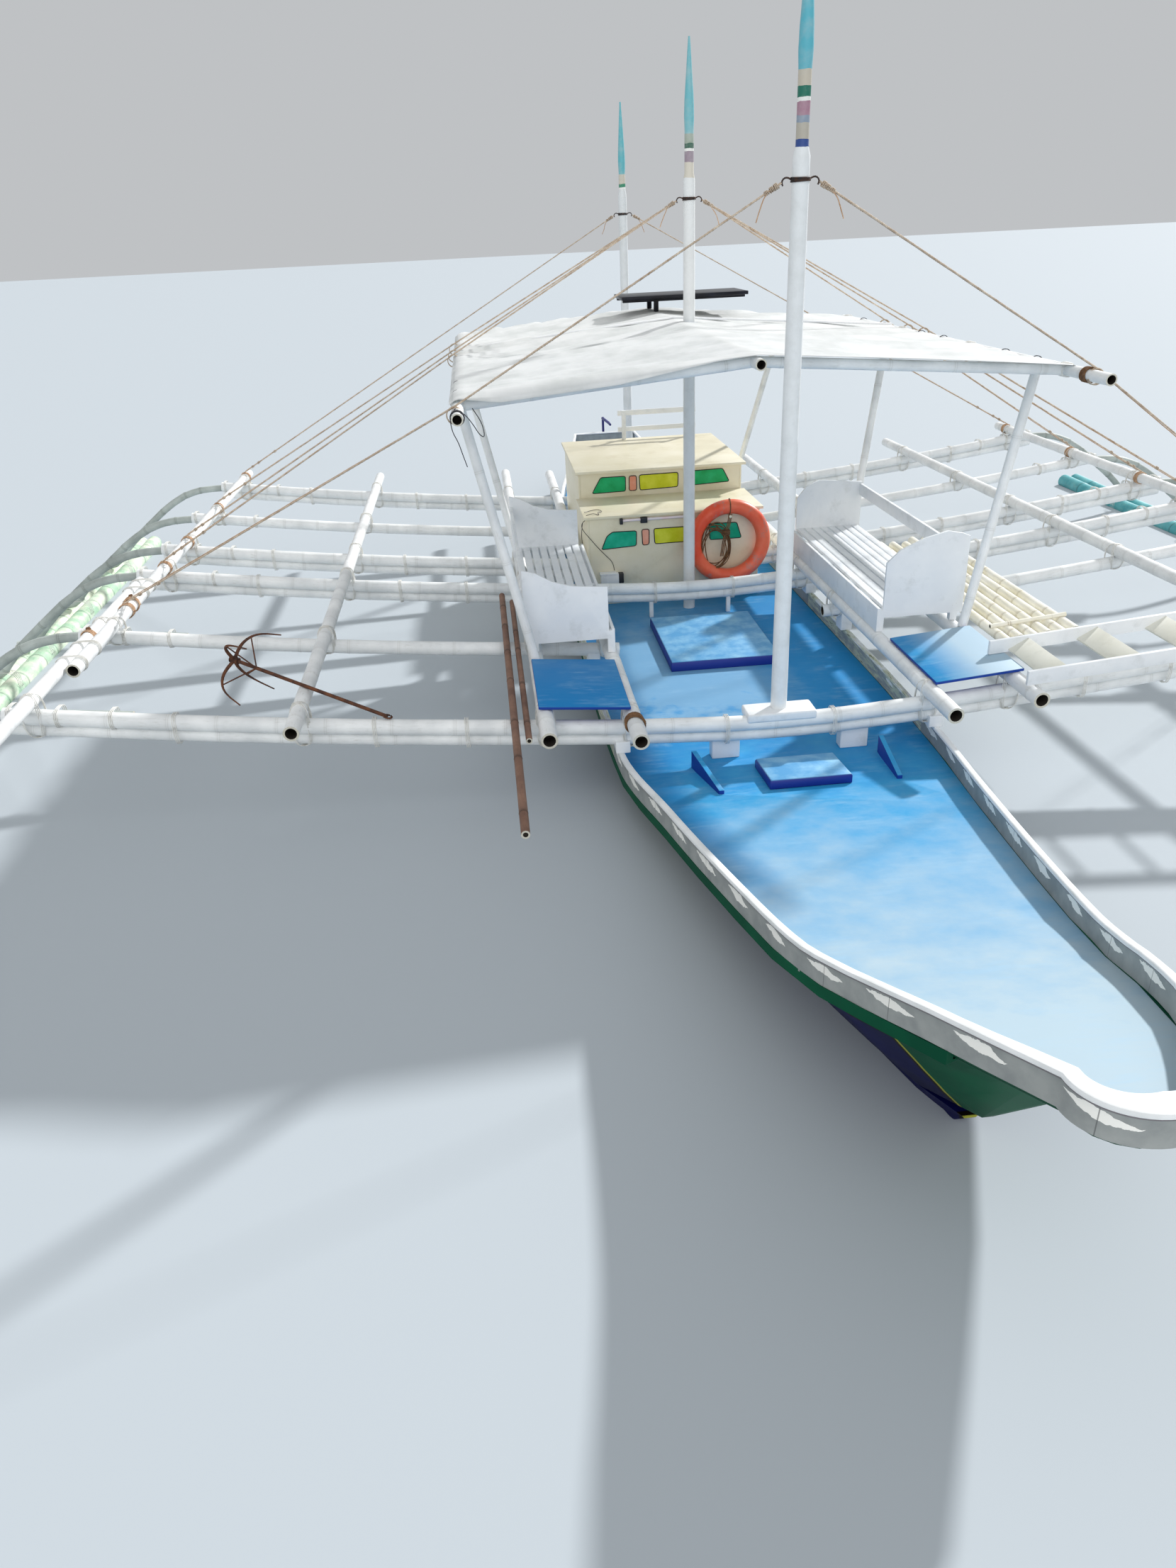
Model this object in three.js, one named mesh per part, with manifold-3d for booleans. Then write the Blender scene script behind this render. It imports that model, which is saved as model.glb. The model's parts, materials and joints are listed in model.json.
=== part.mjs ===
// An outrigger passenger boat: a decked plank hull between two bamboo floats, with a canopy,
// three masts, benches and a stepped engine house.
// Millimetres. The bow points along -Y, +X is the port side, Z = 0 is the waterline.
import * as THREE from "three";
import { mergeVertices } from "three/addons/utils/BufferGeometryUtils.js";
import Module from "manifold-3d";

const wasm = await Module();
wasm.setup();

// Seat gap between touching pieces.
const gap = 0.3;

// Hull.
const lineZ = 100;
const railHeight = 130;
const strakeDepth = 185;
const strakeLap = 60;
const railThick = 30;
const capWide = 60;
const capThick = 25;
const deckDrop = 130;
const deckThick = 30;
const keelHalf = 22;
const noseY = -3850;
const noseLength = 195;
const noseHalf = 235;
const transomY = 9600;
const lidRest = 0.8;

// Poles: radii and places.
const beamRadius = 50;
const lowerRadius = 45;
const lowerDrop = 82;
const lowerAft = 25;
const armRadius = 36;
const innerX = 940;
const sideX = 1470;
const midX = 2930;
const outerX = 4350;
// The forward length of the outer pole lies outboard of the after length.
const spliceX = 4436;
// The port mid pole runs aslant from bow to stern.
const midBowX = 3230;
const midSternX = 3100;
const longRadius = 52;
const midRadius = 48;
const outerRadius = 46;
const poleFrontY = -440;
const poleAftY = 7300;
const chockSize = 130;
const stubX = 840;
// The mast pad on the first beam.
const padHalf = 220;
const padThick = 38;

// Floats.
const floatX = 5950;
const floatZ = 20;
const floatRadius = 85;
const floatPitch = 150;

// Canopy and its frame.
const eaveX = 1833;
const eaveZ = 2412;
const ridgeX = -88;
const ridgeZ = 2560;
const eaveRadius = 35;
const rafterRadius = 25;
const eaveFrontY = 48;
const roofFrontY = 450;
const roofAftY = 4800;
const canopyEdgeX = 1880;
const canopyThick = 12;
const postRadius = 32;

// Masts and stays.
const mastRadius = 50;
const headRadius = 44;
const neckRadius = 33;
const bellyRadius = 37;
const stayRadius = 6;
const hookReach = 98;

// Deckhouse.
const houseX = -90;
const houseHalf = 770;
const wall = 18;
const houseFrontY = 3350;
const stepY = 4080;
const houseAftY = 5600;
const shelfZ = 1020;
const roofUnderZ = 1272;
const boardThick = 25;
const shelfProud = 20;

// Benches.
const benchFrontY = 920;
const benchAftY = 3150;
const benchIn = 960;
const benchOut = 1530;
const seatZ = 870;
const slatThick = 22;

// Life ring.
const ringX = 389;
const ringTube = 62;
const ringCentre = 308;
const pegRadius = 13;

// Drive.
const shaftZ = -400;
const shaftRadius = 13;
const bearing = 0.8;
const propY = 8520;
const propRadius = 150;
const rudderY = 9712;
const stockRadius = 17;

// Materials, one for each finish.
const finish = (color, roughness = 0.6, metalness = 0) =>
  new THREE.MeshStandardMaterial({ color, roughness, metalness });
const finishes = {
  green: finish(0x0a5a40),
  navy: finish(0x1a1f5a),
  blue: finish(0x2a7fc4),
  white: finish(0xdedbd2),
  bamboo: finish(0xe6dfcb),
  grey: finish(0x8d9088, 0.8),
  teal: finish(0x45b0b8),
  tarp: finish(0xf0f1ee, 0.7),
  cream: finish(0xe9e2c8),
  orange: finish(0xf0502a),
  brown: finish(0x6e4a38, 0.8),
  rust: finish(0x4a3428, 0.8, 0.3),
  steel: finish(0x9a9c9e, 0.4, 1),
  bronze: finish(0xa07a40, 0.4, 1),
  rope: finish(0xd8d2c2, 0.9),
  dark: finish(0x2a2d33, 0.4),
};

const boat = new THREE.Group();

const add = (name, geometry, material) => {
  const mesh = new THREE.Mesh(geometry, finishes[material]);
  mesh.name = name;
  boat.add(mesh);
  return mesh;
};

// Geometry with positions only and shared vertices, which the joins and cuts need.
function bare(geometry) {
  const copy = geometry.clone();
  copy.deleteAttribute("normal");
  copy.deleteAttribute("uv");
  return mergeVertices(copy, 1e-4);
}

function toSolid(geometry) {
  const shared = bare(geometry);
  const vertProperties = new Float32Array(shared.attributes.position.array);
  const triVerts = new Uint32Array(shared.index.array);
  return new wasm.Manifold(new wasm.Mesh({ numProp: 3, vertProperties, triVerts }));
}

function fromSolid(solid) {
  const mesh = solid.getMesh();
  const geometry = new THREE.BufferGeometry();
  geometry.setAttribute("position", new THREE.BufferAttribute(mesh.vertProperties, 3));
  geometry.setIndex(new THREE.BufferAttribute(mesh.triVerts, 1));
  return geometry;
}

function join(pieces) {
  let solid = toSolid(pieces[0]);
  for (const piece of pieces.slice(1)) solid = solid.add(toSolid(piece));
  return fromSolid(solid);
}

function cut(body, tools) {
  let solid = toSolid(body);
  for (const tool of tools) solid = solid.subtract(toSolid(tool));
  return fromSolid(solid);
}

// Signed volume, to tell whether the faces point outwards.
function volumeOf(points, faces) {
  let sum = 0;
  for (const [a, b, c] of faces) {
    sum += points[a].dot(new THREE.Vector3().crossVectors(points[b], points[c]));
  }
  return sum / 6;
}

function meshOf(points, faces) {
  const outward = volumeOf(points, faces) > 0;
  const geometry = new THREE.BufferGeometry();
  const flat = points.flatMap((point) => [point.x, point.y, point.z]);
  const index = faces.flatMap(([a, b, c]) => (outward ? [a, b, c] : [a, c, b]));
  geometry.setAttribute("position", new THREE.Float32BufferAttribute(flat, 3));
  geometry.setIndex(index);
  return geometry;
}

// A closed body through rings of equal count. Each end is a flat fan round its first vertex, or
// the last ring joins the first when loop is true.
function loft(rings, loop = false) {
  const count = rings[0].length;
  const points = rings.flat();
  const faces = [];
  const spans = loop ? rings.length : rings.length - 1;
  for (let i = 0; i < spans; i += 1) {
    const near = i * count;
    const far = ((i + 1) % rings.length) * count;
    for (let j = 0; j < count; j += 1) {
      const next = (j + 1) % count;
      faces.push([near + j, near + next, far + next], [near + j, far + next, far + j]);
    }
  }
  if (!loop) {
    const last = (rings.length - 1) * count;
    for (let j = 1; j < count - 1; j += 1) {
      faces.push([0, j + 1, j], [last, last + j, last + j + 1]);
    }
  }
  return meshOf(points, faces);
}

const vec = (x, y, z) => new THREE.Vector3(x, y, z);

function box(x0, x1, y0, y1, z0, z1) {
  const geometry = new THREE.BoxGeometry(x1 - x0, y1 - y0, z1 - z0);
  geometry.translate((x0 + x1) / 2, (y0 + y1) / 2, (z0 + z1) / 2);
  return geometry;
}

// A round bar through the points, mitred at its bends so that every stretch keeps its full
// radius. A corner of its section points up.
function bar(points, radius, endRadius = radius, sides = 8) {
  const last = points.length - 1;
  const rings = points.map((point, i) => {
    const [first, second] = [Math.max(i, 1), Math.min(i, last - 1)];
    const into = points[first].clone().sub(points[first - 1]).normalize();
    const out = points[second + 1].clone().sub(points[second]).normalize();
    const along = into.clone().add(out).normalize();
    const bend = out.clone().sub(into);
    const stretch = bend.lengthSq() > 1e-12 ? 1 / into.dot(along) - 1 : 0;
    if (stretch > 0) bend.normalize();
    const guide = Math.abs(along.z) > 0.9 ? vec(1, 0, 0) : vec(0, 0, 1);
    const across = vec(0, 0, 0).crossVectors(along, guide).normalize();
    const up = vec(0, 0, 0).crossVectors(across, along);
    const size = radius + ((endRadius - radius) * i) / last;
    return Array.from({ length: sides }, (_, j) => {
      const angle = (2 * Math.PI * j) / sides + Math.PI / 2;
      const offset = across.clone().multiplyScalar(size * Math.cos(angle));
      offset.addScaledVector(up, size * Math.sin(angle));
      offset.addScaledVector(bend, offset.dot(bend) * stretch);
      return point.clone().add(offset);
    });
  });
  return loft(rings);
}

// A leaning post whose two ends are cut level.
function levelPost(foot, top, radius, sides = 10) {
  const ring = (centre) => Array.from({ length: sides }, (_, j) => {
    const angle = (2 * Math.PI * j) / sides;
    return vec(centre.x + radius * Math.cos(angle), centre.y + radius * Math.sin(angle), centre.z);
  });
  return loft([ring(foot), ring(top)]);
}

// A board cut to an outline in the plane across one axis.
function board(outline, thick, axis, from) {
  const shape = new THREE.Shape(outline.map(([a, b]) => new THREE.Vector2(a, b)));
  const geometry = new THREE.ExtrudeGeometry(shape, { depth: thick, bevelEnabled: false });
  const turn = new THREE.Matrix4();
  if (axis === "x") turn.makeBasis(vec(0, 1, 0), vec(0, 0, 1), vec(1, 0, 0));
  if (axis === "y") turn.makeBasis(vec(1, 0, 0), vec(0, 0, 1), vec(0, -1, 0));
  geometry.applyMatrix4(turn);
  const shift = { x: vec(from, 0, 0), y: vec(0, from + thick, 0), z: vec(0, 0, from) }[axis];
  return geometry.translate(shift.x, shift.y, shift.z);
}

const mirrorX = (points) => points.map((point) => vec(-point.x, point.y, point.z));

// Smooth reading of a table's column at any y.
function reader(rows, column) {
  const rise = (i) => (rows[i + 1][column] - rows[i][column]) / (rows[i + 1][0] - rows[i][0]);
  const slope = (i) => {
    if (i === 0) return rise(0);
    if (i === rows.length - 1) return rise(i - 1);
    const [before, after] = [rise(i - 1), rise(i)];
    return before * after <= 0 ? 0 : (2 * before * after) / (before + after);
  };
  return (y) => {
    const at = Math.min(Math.max(y, rows[0][0]), rows[rows.length - 1][0]);
    let i = 0;
    while (i < rows.length - 2 && at > rows[i + 1][0]) i += 1;
    const span = rows[i + 1][0] - rows[i][0];
    const t = (at - rows[i][0]) / span;
    const rounded = 3 * t ** 2 - 2 * t ** 3;
    const level = rows[i][column] * (1 - rounded) + rows[i + 1][column] * rounded;
    return level + span * ((t ** 3 - 2 * t ** 2 + t) * slope(i) + (t ** 3 - t ** 2) * slope(i + 1));
  };
}

// Hull lines: y, half breadth at the rail, rail top, half breadth at the waterline, keel.
const lines = [
  [-3850, 235, 1140, 0, 960],
  [-3500, 400, 1060, 0, 660],
  [-3120, 515, 925, 0, 220],
  [-2930, 560, 850, 0, 30],
  [-2600, 635, 740, 165, -280],
  [-2000, 735, 630, 250, -400],
  [-1000, 890, 490, 400, -440],
  [0, 1030, 385, 520, -450],
  [1200, 1060, 375, 600, -450],
  [4500, 1050, 375, 600, -450],
  [5700, 985, 375, 560, -445],
  [6400, 915, 395, 515, -430],
  [7400, 790, 450, 420, -360],
  [8500, 600, 560, 270, -150],
  [9600, 430, 720, 140, -20],
];
const railHalf = reader(lines, 1);
const railTop = reader(lines, 2);
const waterHalf = reader(lines, 3);
const keelZ = reader(lines, 4);
const deckTop = (y) => railTop(y) - deckDrop;
// The chord of the deck between two places, which its hollow sheer never reaches.
const overDeck = (from, to) => (y) => {
  const t = (y - from) / (to - from);
  return deckTop(from) * (1 - t) + deckTop(to) * t;
};

// The rail's plan from the nose round the port side to the transom.
function railPlan() {
  const plan = [];
  const noseSteps = 5;
  for (let i = 0; i <= noseSteps; i += 1) {
    const angle = ((noseSteps - i) / noseSteps) * (Math.PI / 2);
    plan.push([noseHalf * Math.cos(angle), noseY - noseLength * Math.sin(angle)]);
  }
  const stations = [-3500, -3120, -2800, -2400, -2000, -1500, -1000, -520, -140, 200, 600, 1200, 3000];
  stations.push(4500, 5700, 6400, 7000, 7600, 8200, 8800, 9200, transomY);
  for (const y of stations) plan.push([railHalf(y), y]);
  return plan;
}

// Inward offset of the plan, mitred at each point. The first point lies on the centreline.
function inset(plan, distance) {
  const whole = [[-plan[1][0], plan[1][1]], ...plan, [0, transomY]];
  return plan.map((_, i) => {
    const [before, here, after] = [whole[i], whole[i + 1], whole[i + 2]];
    const first = new THREE.Vector2(here[0] - before[0], here[1] - before[1]).normalize();
    const second = new THREE.Vector2(after[0] - here[0], after[1] - here[1]).normalize();
    const normal = new THREE.Vector2(-(first.y + second.y), first.x + second.x).normalize();
    const square = new THREE.Vector2(-second.y, second.x);
    const reach = distance / normal.dot(square);
    return [here[0] + normal.x * reach, here[1] + normal.y * reach];
  });
}

const plan = railPlan();

// Height of the rail as it is built, straight from station to station.
function railAt(y) {
  let i = 1;
  while (i < plan.length - 1 && plan[i][1] < y) i += 1;
  const [from, to] = [plan[i - 1][1], plan[i][1]];
  return railTop(from) + ((railTop(to) - railTop(from)) * (y - from)) / (to - from);
}

// A band of one section round the hull's edge, whole or from one place aft. Columns of the
// section: inset from the rail's outer face, height below the rail's top.
function sheerBand(section, from = -Infinity) {
  const offsets = section.map(([depth]) => inset(plan, depth));
  const ringAt = (i, side) => section.map(([, drop], j) => {
    const [x, y] = offsets[j][i];
    return vec(side * Math.max(x, 0), y, railTop(plan[i][1]) - drop);
  });
  const kept = plan.map((_, i) => i).filter((i) => plan[i][1] >= from);
  const port = kept.map((i) => ringAt(i, 1));
  const starboard = kept.map((i) => ringAt(i, -1)).reverse();
  if (kept.length < plan.length) return loft([...port, ...starboard]);
  return loft([...port, ...starboard.slice(0, -1)], true);
}

function railGeometry() {
  const outer = [[0, railHeight], [0, 0], [capWide, 0]];
  return sheerBand([...outer, [capWide, capThick], [railThick, capThick], [railThick, railHeight]]);
}

// The top plank under the rail, which laps the hull's edge and stops short of the nose.
function strakeGeometry() {
  const top = railHeight + gap;
  const lap = deckDrop + deckThick + 15;
  const lower = [[0, strakeDepth], [strakeLap, strakeDepth], [strakeLap, lap]];
  return sheerBand([...lower, [railThick, lap], [railThick, top], [0, top]], -3500);
}

// Half breadth of the hull's skin at height z, inside the rail.
function skinHalf(y, z, topHalf, topZ) {
  const keel = keelZ(y);
  const water = waterHalf(y);
  if (keel >= 0 || water < keelHalf) {
    const t = Math.max(z - keel, 0) / (topZ - keel);
    return keelHalf + (topHalf - keelHalf) * t ** 0.95;
  }
  if (z < 0) return keelHalf + (water - keelHalf) * ((z - keel) / -keel) ** 0.55;
  return water + (topHalf - water) * (z / topZ) ** 0.95;
}

function hullStations() {
  const inner = inset(plan, railThick + 2 * gap);
  const behindNose = inner.filter(([, y]) => y > noseY + 5);
  return behindNose.map(([half, y]) => ({ half, y, top: railTop(y) - deckDrop - deckThick }));
}

function hullRing(station, levels) {
  const port = levels.map((z) => vec(skinHalf(station.y, z, station.half, station.top), station.y, z));
  return [...port, ...mirrorX(port).reverse()];
}

function topsides() {
  const shares = [0, 0.25, 0.5, 0.75, 1];
  const rings = hullStations().map((station) => {
    const low = Math.max(lineZ, keelZ(station.y));
    return hullRing(station, shares.map((share) => low + (station.top - gap - low) * share));
  });
  return loft(rings);
}

function bottom() {
  const shares = [0, 0.04, 0.15, 0.4, 0.75, 1];
  const tip = { y: -2990, half: railHalf(-2990) - railThick, top: railTop(-2990) - deckDrop - deckThick };
  const stations = [tip, ...hullStations().filter(({ y }) => y > -2950)];
  const rings = stations.map((station) => {
    const low = Math.min(keelZ(station.y), lineZ - 12);
    return hullRing(station, shares.map((share) => low + (lineZ - gap - low) * share));
  });
  return loft(rings);
}

function deckSlab() {
  const inner = inset(plan, railThick + 2 * gap).filter(([half]) => half > 60);
  const rings = inner.map(([half, y]) => {
    const top = deckTop(y);
    const low = top - deckThick;
    return [vec(half, y, low), vec(half, y, top), vec(-half, y, top), vec(-half, y, low)];
  });
  return loft(rings);
}

// Wedge knees that stand on the foredeck in front of the first beam.
function deckGeometry() {
  // Columns: x at the beam, x at the toe.
  const knees = [[-560, -480], [640, 600]];
  const wedges = knees.map(([heelX, toeX]) => {
    const heel = deckTop(-60);
    const toe = deckTop(-520);
    const side = (dx) => [
      vec(heelX + dx, -60, heel - 15), vec(toeX + dx, -520, toe - 15), vec(toeX + dx, -520, toe + 25),
      vec(heelX + dx, -60, heel + 115),
    ];
    return loft([side(-16), side(16)]);
  });
  return join([deckSlab(), ...wedges]);
}

// Lids: name, x from, x to, y from, y to, thickness above the deck.
const lids = [
  ["main_hatch_lid", -420, 430, 1580, 2660, 78],
  ["bow_hatch_lid", -190, 310, -520, -140, 62],
];

function lidGeometry(x0, x1, y0, y1, high) {
  const lip = 14;
  const chord = overDeck(y0, y1);
  const floor = (y) => chord(y) + lidRest;
  const levels = [[0, 0], [0, high - lip], [lip * 0.6, high]];
  const rings = levels.map(([inside, rise]) => {
    const [left, right, near, far] = [x0 + inside, x1 - inside, y0 + inside, y1 - inside];
    const corners = [[left, near], [right, near], [right, far], [left, far]];
    return corners.map(([x, y]) => vec(x, y, floor(y) + rise));
  });
  return loft(rings);
}

// Beams: y to starboard, y to port, number of poles, x of the props that stand on the deck. A
// beam with two different places is two halves that stop at the rails.
const beams = [
  [0, 0, 2, []],
  [1400, 1900, 1, []],
  [2880, 2880, 2, [-370, 310]],
  [3680, 3680, 2, []],
  [4850, 4850, 1, []],
  [6300, 6300, 2, []],
];
// Crown of every beam: x, height of its top.
const crown = [
  [0, 540], [940, 590], [1470, 635], [2200, 700], [2930, 775], [3600, 855], [4200, 935], [4450, 968],
  [4600, 990],
];
const crownTop = (x) => {
  const at = Math.abs(x);
  let i = 0;
  while (i < crown.length - 2 && at > crown[i + 1][0]) i += 1;
  const t = (at - crown[i][0]) / (crown[i + 1][0] - crown[i][0]);
  return crown[i][1] + t * (crown[i + 1][1] - crown[i][1]);
};
const crownSlope = (x) => (crownTop(x + 5) - crownTop(x - 5)) / 10;
const padTop = crownTop(0) + padThick;
// Height of a bar's axis that lies across the beams at x.
const restingOn = (x, radius) => {
  const lean = Math.atan(crownSlope(Math.abs(x)));
  return crownTop(x) - beamRadius + (beamRadius + gap) / Math.cos(lean) + radius;
};

// Curved outboard arm: x, height of its axis.
const arm = [
  [3900, 845], [4450, 905], [4750, 915], [4980, 880], [5220, 760], [5480, 560], [5720, 370], [5860, 225],
  [5930, 142],
];

// One side's curved arm, whose toe lies on the float.
function armGeometry(y, side) {
  const path = arm.map(([x, z]) => vec(side * x, y + 62, z));
  const toe = floatZ + floatRadius + armRadius + gap;
  path[path.length - 1].z = toe;
  path.push(vec(side * (floatX + 130), y + 62, toe));
  return bar(path, armRadius, armRadius, 6);
}

// A chock on the rail under the beam's lowest pole.
function chockGeometry(y, poles, side) {
  const [from, to] = [y - chockSize / 2 + 20, y + chockSize / 2 + 20];
  const seat = Math.max(railAt(from), railAt(to)) + gap;
  const x = side * (railHalf(y) - capWide / 2);
  const top = crownTop(x) - beamRadius - (poles > 1 ? lowerDrop : 0);
  return box(x - 45, x + 45, from, to, seat, top);
}

// A beam of one or two poles with its arms, chocks and props. It reaches the named sides.
function beamGeometry(y, poles, sides, props) {
  const outward = crown.map(([x]) => x);
  const xs = sides.length > 1
    ? [...outward.slice(1).map((x) => -x).reverse(), ...outward]
    : [stubX, ...outward.slice(1)].map((x) => sides[0] * x);
  const upper = (x) => vec(x, y, crownTop(x) - beamRadius);
  const lower = (x) => vec(x, y + lowerAft, crownTop(x) - beamRadius - lowerDrop);
  const pieces = [bar(xs.map(upper), beamRadius)];
  if (poles > 1) pieces.push(bar(xs.map(lower), lowerRadius));
  for (const side of sides) pieces.push(armGeometry(y, side), chockGeometry(y, poles, side));
  for (const x of props) {
    const middle = lower(x);
    pieces.push(box(x - 17, x + 17, middle.y - 17, middle.y + 17, deckTop(y) + gap, middle.z));
  }
  if (y === 0) pieces.push(box(-padHalf, padHalf, -55, 130, crownTop(0) - 20, padTop));
  return join(pieces);
}

function floatGeometry(side) {
  // Columns: y, rise of the axis.
  const run = [[-3000, 260], [-2500, 95], [-1900, 15], [-1000, 0], [2500, 0], [6500, 0], [7700, 25]];
  const rows = [-floatPitch / 2, floatPitch / 2].map((shift) => {
    const points = run.map(([y, rise]) => vec(side * floatX + shift, y, floatZ + rise));
    return bar(points, floatRadius);
  });
  return join(rows);
}

// Long poles: name, bow and stern x to starboard, bow and stern x to port, radius, y from, y to.
const longPoles = [
  ["inner_pole", [innerX, innerX], [innerX, innerX], longRadius, poleFrontY, poleAftY],
  ["side_pole", [sideX, sideX], [sideX, sideX], longRadius, poleFrontY + 20, poleAftY],
  ["mid_pole", [midX, midX], [midBowX, midSternX], midRadius, -330, 6900],
];

function longPole(side, [bowX, sternX], radius, from, to) {
  const bow = vec(side * bowX, from, restingOn(bowX, radius));
  const stern = vec(side * sternX, to, restingOn(sternX, radius));
  return bar([bow, stern], radius);
}

// Two lengths lashed side by side where they meet.
function outerPole(side) {
  const after = longPole(side, [outerX, outerX], outerRadius, 500, 6620);
  const forward = longPole(side, [spliceX, spliceX], outerRadius - 2, -600, 2400);
  return join([after, forward]);
}

const poleTop = (x, radius) => restingOn(x, radius) + radius;
const innerTop = poleTop(innerX, longRadius);
const sideTop = poleTop(sideX, longRadius);

// Blue board laid over the inner and the side pole, tipped to touch both.
function sideDeck(side) {
  const tilt = Math.atan((sideTop - innerTop) / (sideX - innerX));
  const wide = 560;
  const long = 820;
  const thick = 20;
  const geometry = new THREE.BoxGeometry(wide, long, thick);
  geometry.rotateY(-side * tilt);
  const middle = (innerX + sideX) / 2;
  const lift = (longRadius + thick / 2 + 2 * gap) / Math.cos(tilt);
  const z = (restingOn(innerX, longRadius) + restingOn(sideX, longRadius)) / 2 + lift;
  return geometry.translate(side * (middle + 25), 320, z + Math.tan(tilt) * 25);
}

// Underside of the canopy, straight from the ridge to the eaves.
const canopyUnder = (x) => {
  const t = Math.abs(x - ridgeX) / (eaveX - Math.sign(x - ridgeX) * ridgeX);
  return ridgeZ + eaveRadius + gap * 4 + t * (eaveZ - ridgeZ);
};
const canopyTop = (x) => canopyUnder(x) + canopyThick;

function canopyGeometry() {
  const section = (y) => {
    const xs = [-canopyEdgeX, ridgeX, canopyEdgeX];
    const low = xs.map((x) => vec(x, y, canopyUnder(x)));
    const high = xs.map((x) => vec(x, y, canopyTop(x))).reverse();
    return [...low, ...high];
  };
  const sheet = loft([section(roofFrontY), section(roofAftY)]);
  const holes = masts.slice(1, 2).map(({ y }) => {
    const hole = new THREE.CylinderGeometry(mastRadius + 14, mastRadius + 14, 400, 16);
    return hole.rotateX(Math.PI / 2).translate(0, y, ridgeZ);
  });
  return cut(sheet, holes);
}

// Rafters: y, radius.
const rafters = [[560, 33], [1950, rafterRadius], [3300, rafterRadius], [4720, rafterRadius]];

function roofFrame() {
  const pieces = [
    bar([vec(ridgeX, roofFrontY - 60, ridgeZ), vec(ridgeX, roofAftY + 60, ridgeZ)], eaveRadius),
  ];
  for (const side of [-1, 1]) {
    const x = side * eaveX;
    pieces.push(bar([vec(x, eaveFrontY, eaveZ), vec(x, roofAftY + 80, eaveZ)], eaveRadius));
  }
  for (const [y, radius] of rafters) {
    for (const side of [-1, 1]) {
      pieces.push(bar([vec(ridgeX, y, ridgeZ), vec(side * eaveX, y, eaveZ)], radius, radius, 6));
    }
  }
  return join(pieces);
}

// Posts between the side poles and the eaves: name, foot y, top y.
const posts = [["front", 780, 930], ["middle", 3230, 3650]];

function postGeometry(side, footY, topY) {
  const foot = vec(side * (sideX + 8), footY, sideTop + gap);
  const top = vec(side * eaveX, topY, eaveZ - eaveRadius - gap);
  return levelPost(foot, top, postRadius);
}

// The single strut from the port inner pole up to the last rafter.
function aftPost() {
  const x = 1190;
  const y = rafters[rafters.length - 1][0];
  const fall = (ridgeZ - eaveZ) / (eaveX - ridgeX);
  const top = vec(x, y, ridgeZ - fall * (x - ridgeX) - rafterRadius - 3.5);
  return levelPost(vec(innerX, 5620, innerTop + gap), top, postRadius - 3);
}

// A flat batten that holds the canopy down over a rafter.
function canopyBatten() {
  const thick = 14;
  const xs = [-1750, ridgeX, 1750];
  const low = xs.map((x) => [x, canopyTop(x) + gap]);
  const high = low.map(([x, z]) => [x, z + thick]).reverse();
  return board([...low, ...high], 46, "y", 3330);
}

// A flat panel on two uprights that stand on the ridge.
function roofPanel() {
  const ridgeTop = canopyTop(ridgeX) + gap;
  const pieces = [box(-400, 720, 4130, 4690, 2712, 2740)];
  for (const y of [4190, 4590]) {
    pieces.push(box(ridgeX - 20, ridgeX + 20, y, y + 40, ridgeTop, 2695));
    pieces.push(box(-385, 705, y, y + 40, 2690, 2714));
  }
  return join(pieces);
}

// Masts: name, y, foot, and the heights of the stay hooks, shoulder, neck, belly and tip.
const masts = [
  ["mast_front", 50, padTop + gap, 3468, 3590, 3935, 4011, 4560],
  ["mast_middle", 3100, deckTop(3100) + gap, 3455, 3600, 3885, 3982, 4472],
  ["mast_aft", 6980, deckTop(6980) + 4, 3400, 3600, 3780, 3883, 4425],
].map(([name, y, foot, hooks, shoulder, neck, belly, tip]) => ({
  name, y, foot, hooks, shoulder, neck, belly, tip,
}));

// A thick pole whose slimmer banded head ends in a spindle.
function mastGeometry({ y, foot, shoulder, neck, belly, tip }) {
  // Columns: radius, height.
  const profile = [
    [0, foot], [mastRadius, foot], [mastRadius, foot + 200], [headRadius, shoulder - 20],
    [neckRadius + 1, shoulder + 25], [neckRadius, neck], [bellyRadius, belly], [7, tip], [0, tip],
  ];
  const lathe = new THREE.LatheGeometry(profile.map(([r, z]) => new THREE.Vector2(r, z)), 12);
  return lathe.rotateX(Math.PI / 2).translate(0, y, 0);
}

// Stays: mast, each outboard foot's y on the outer poles, and x, height and y of the turn over the
// canopy's edge. A turn with no y of its own lies in the straight line's plan.
const stayFeet = [
  [0, [1700], [eaveX + 15, eaveZ + eaveRadius + stayRadius - 1, 250]],
  [1, [2800, 3600, 4900], [canopyEdgeX, eaveZ + eaveRadius + canopyThick + stayRadius]],
  [2, [6400]],
];

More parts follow.
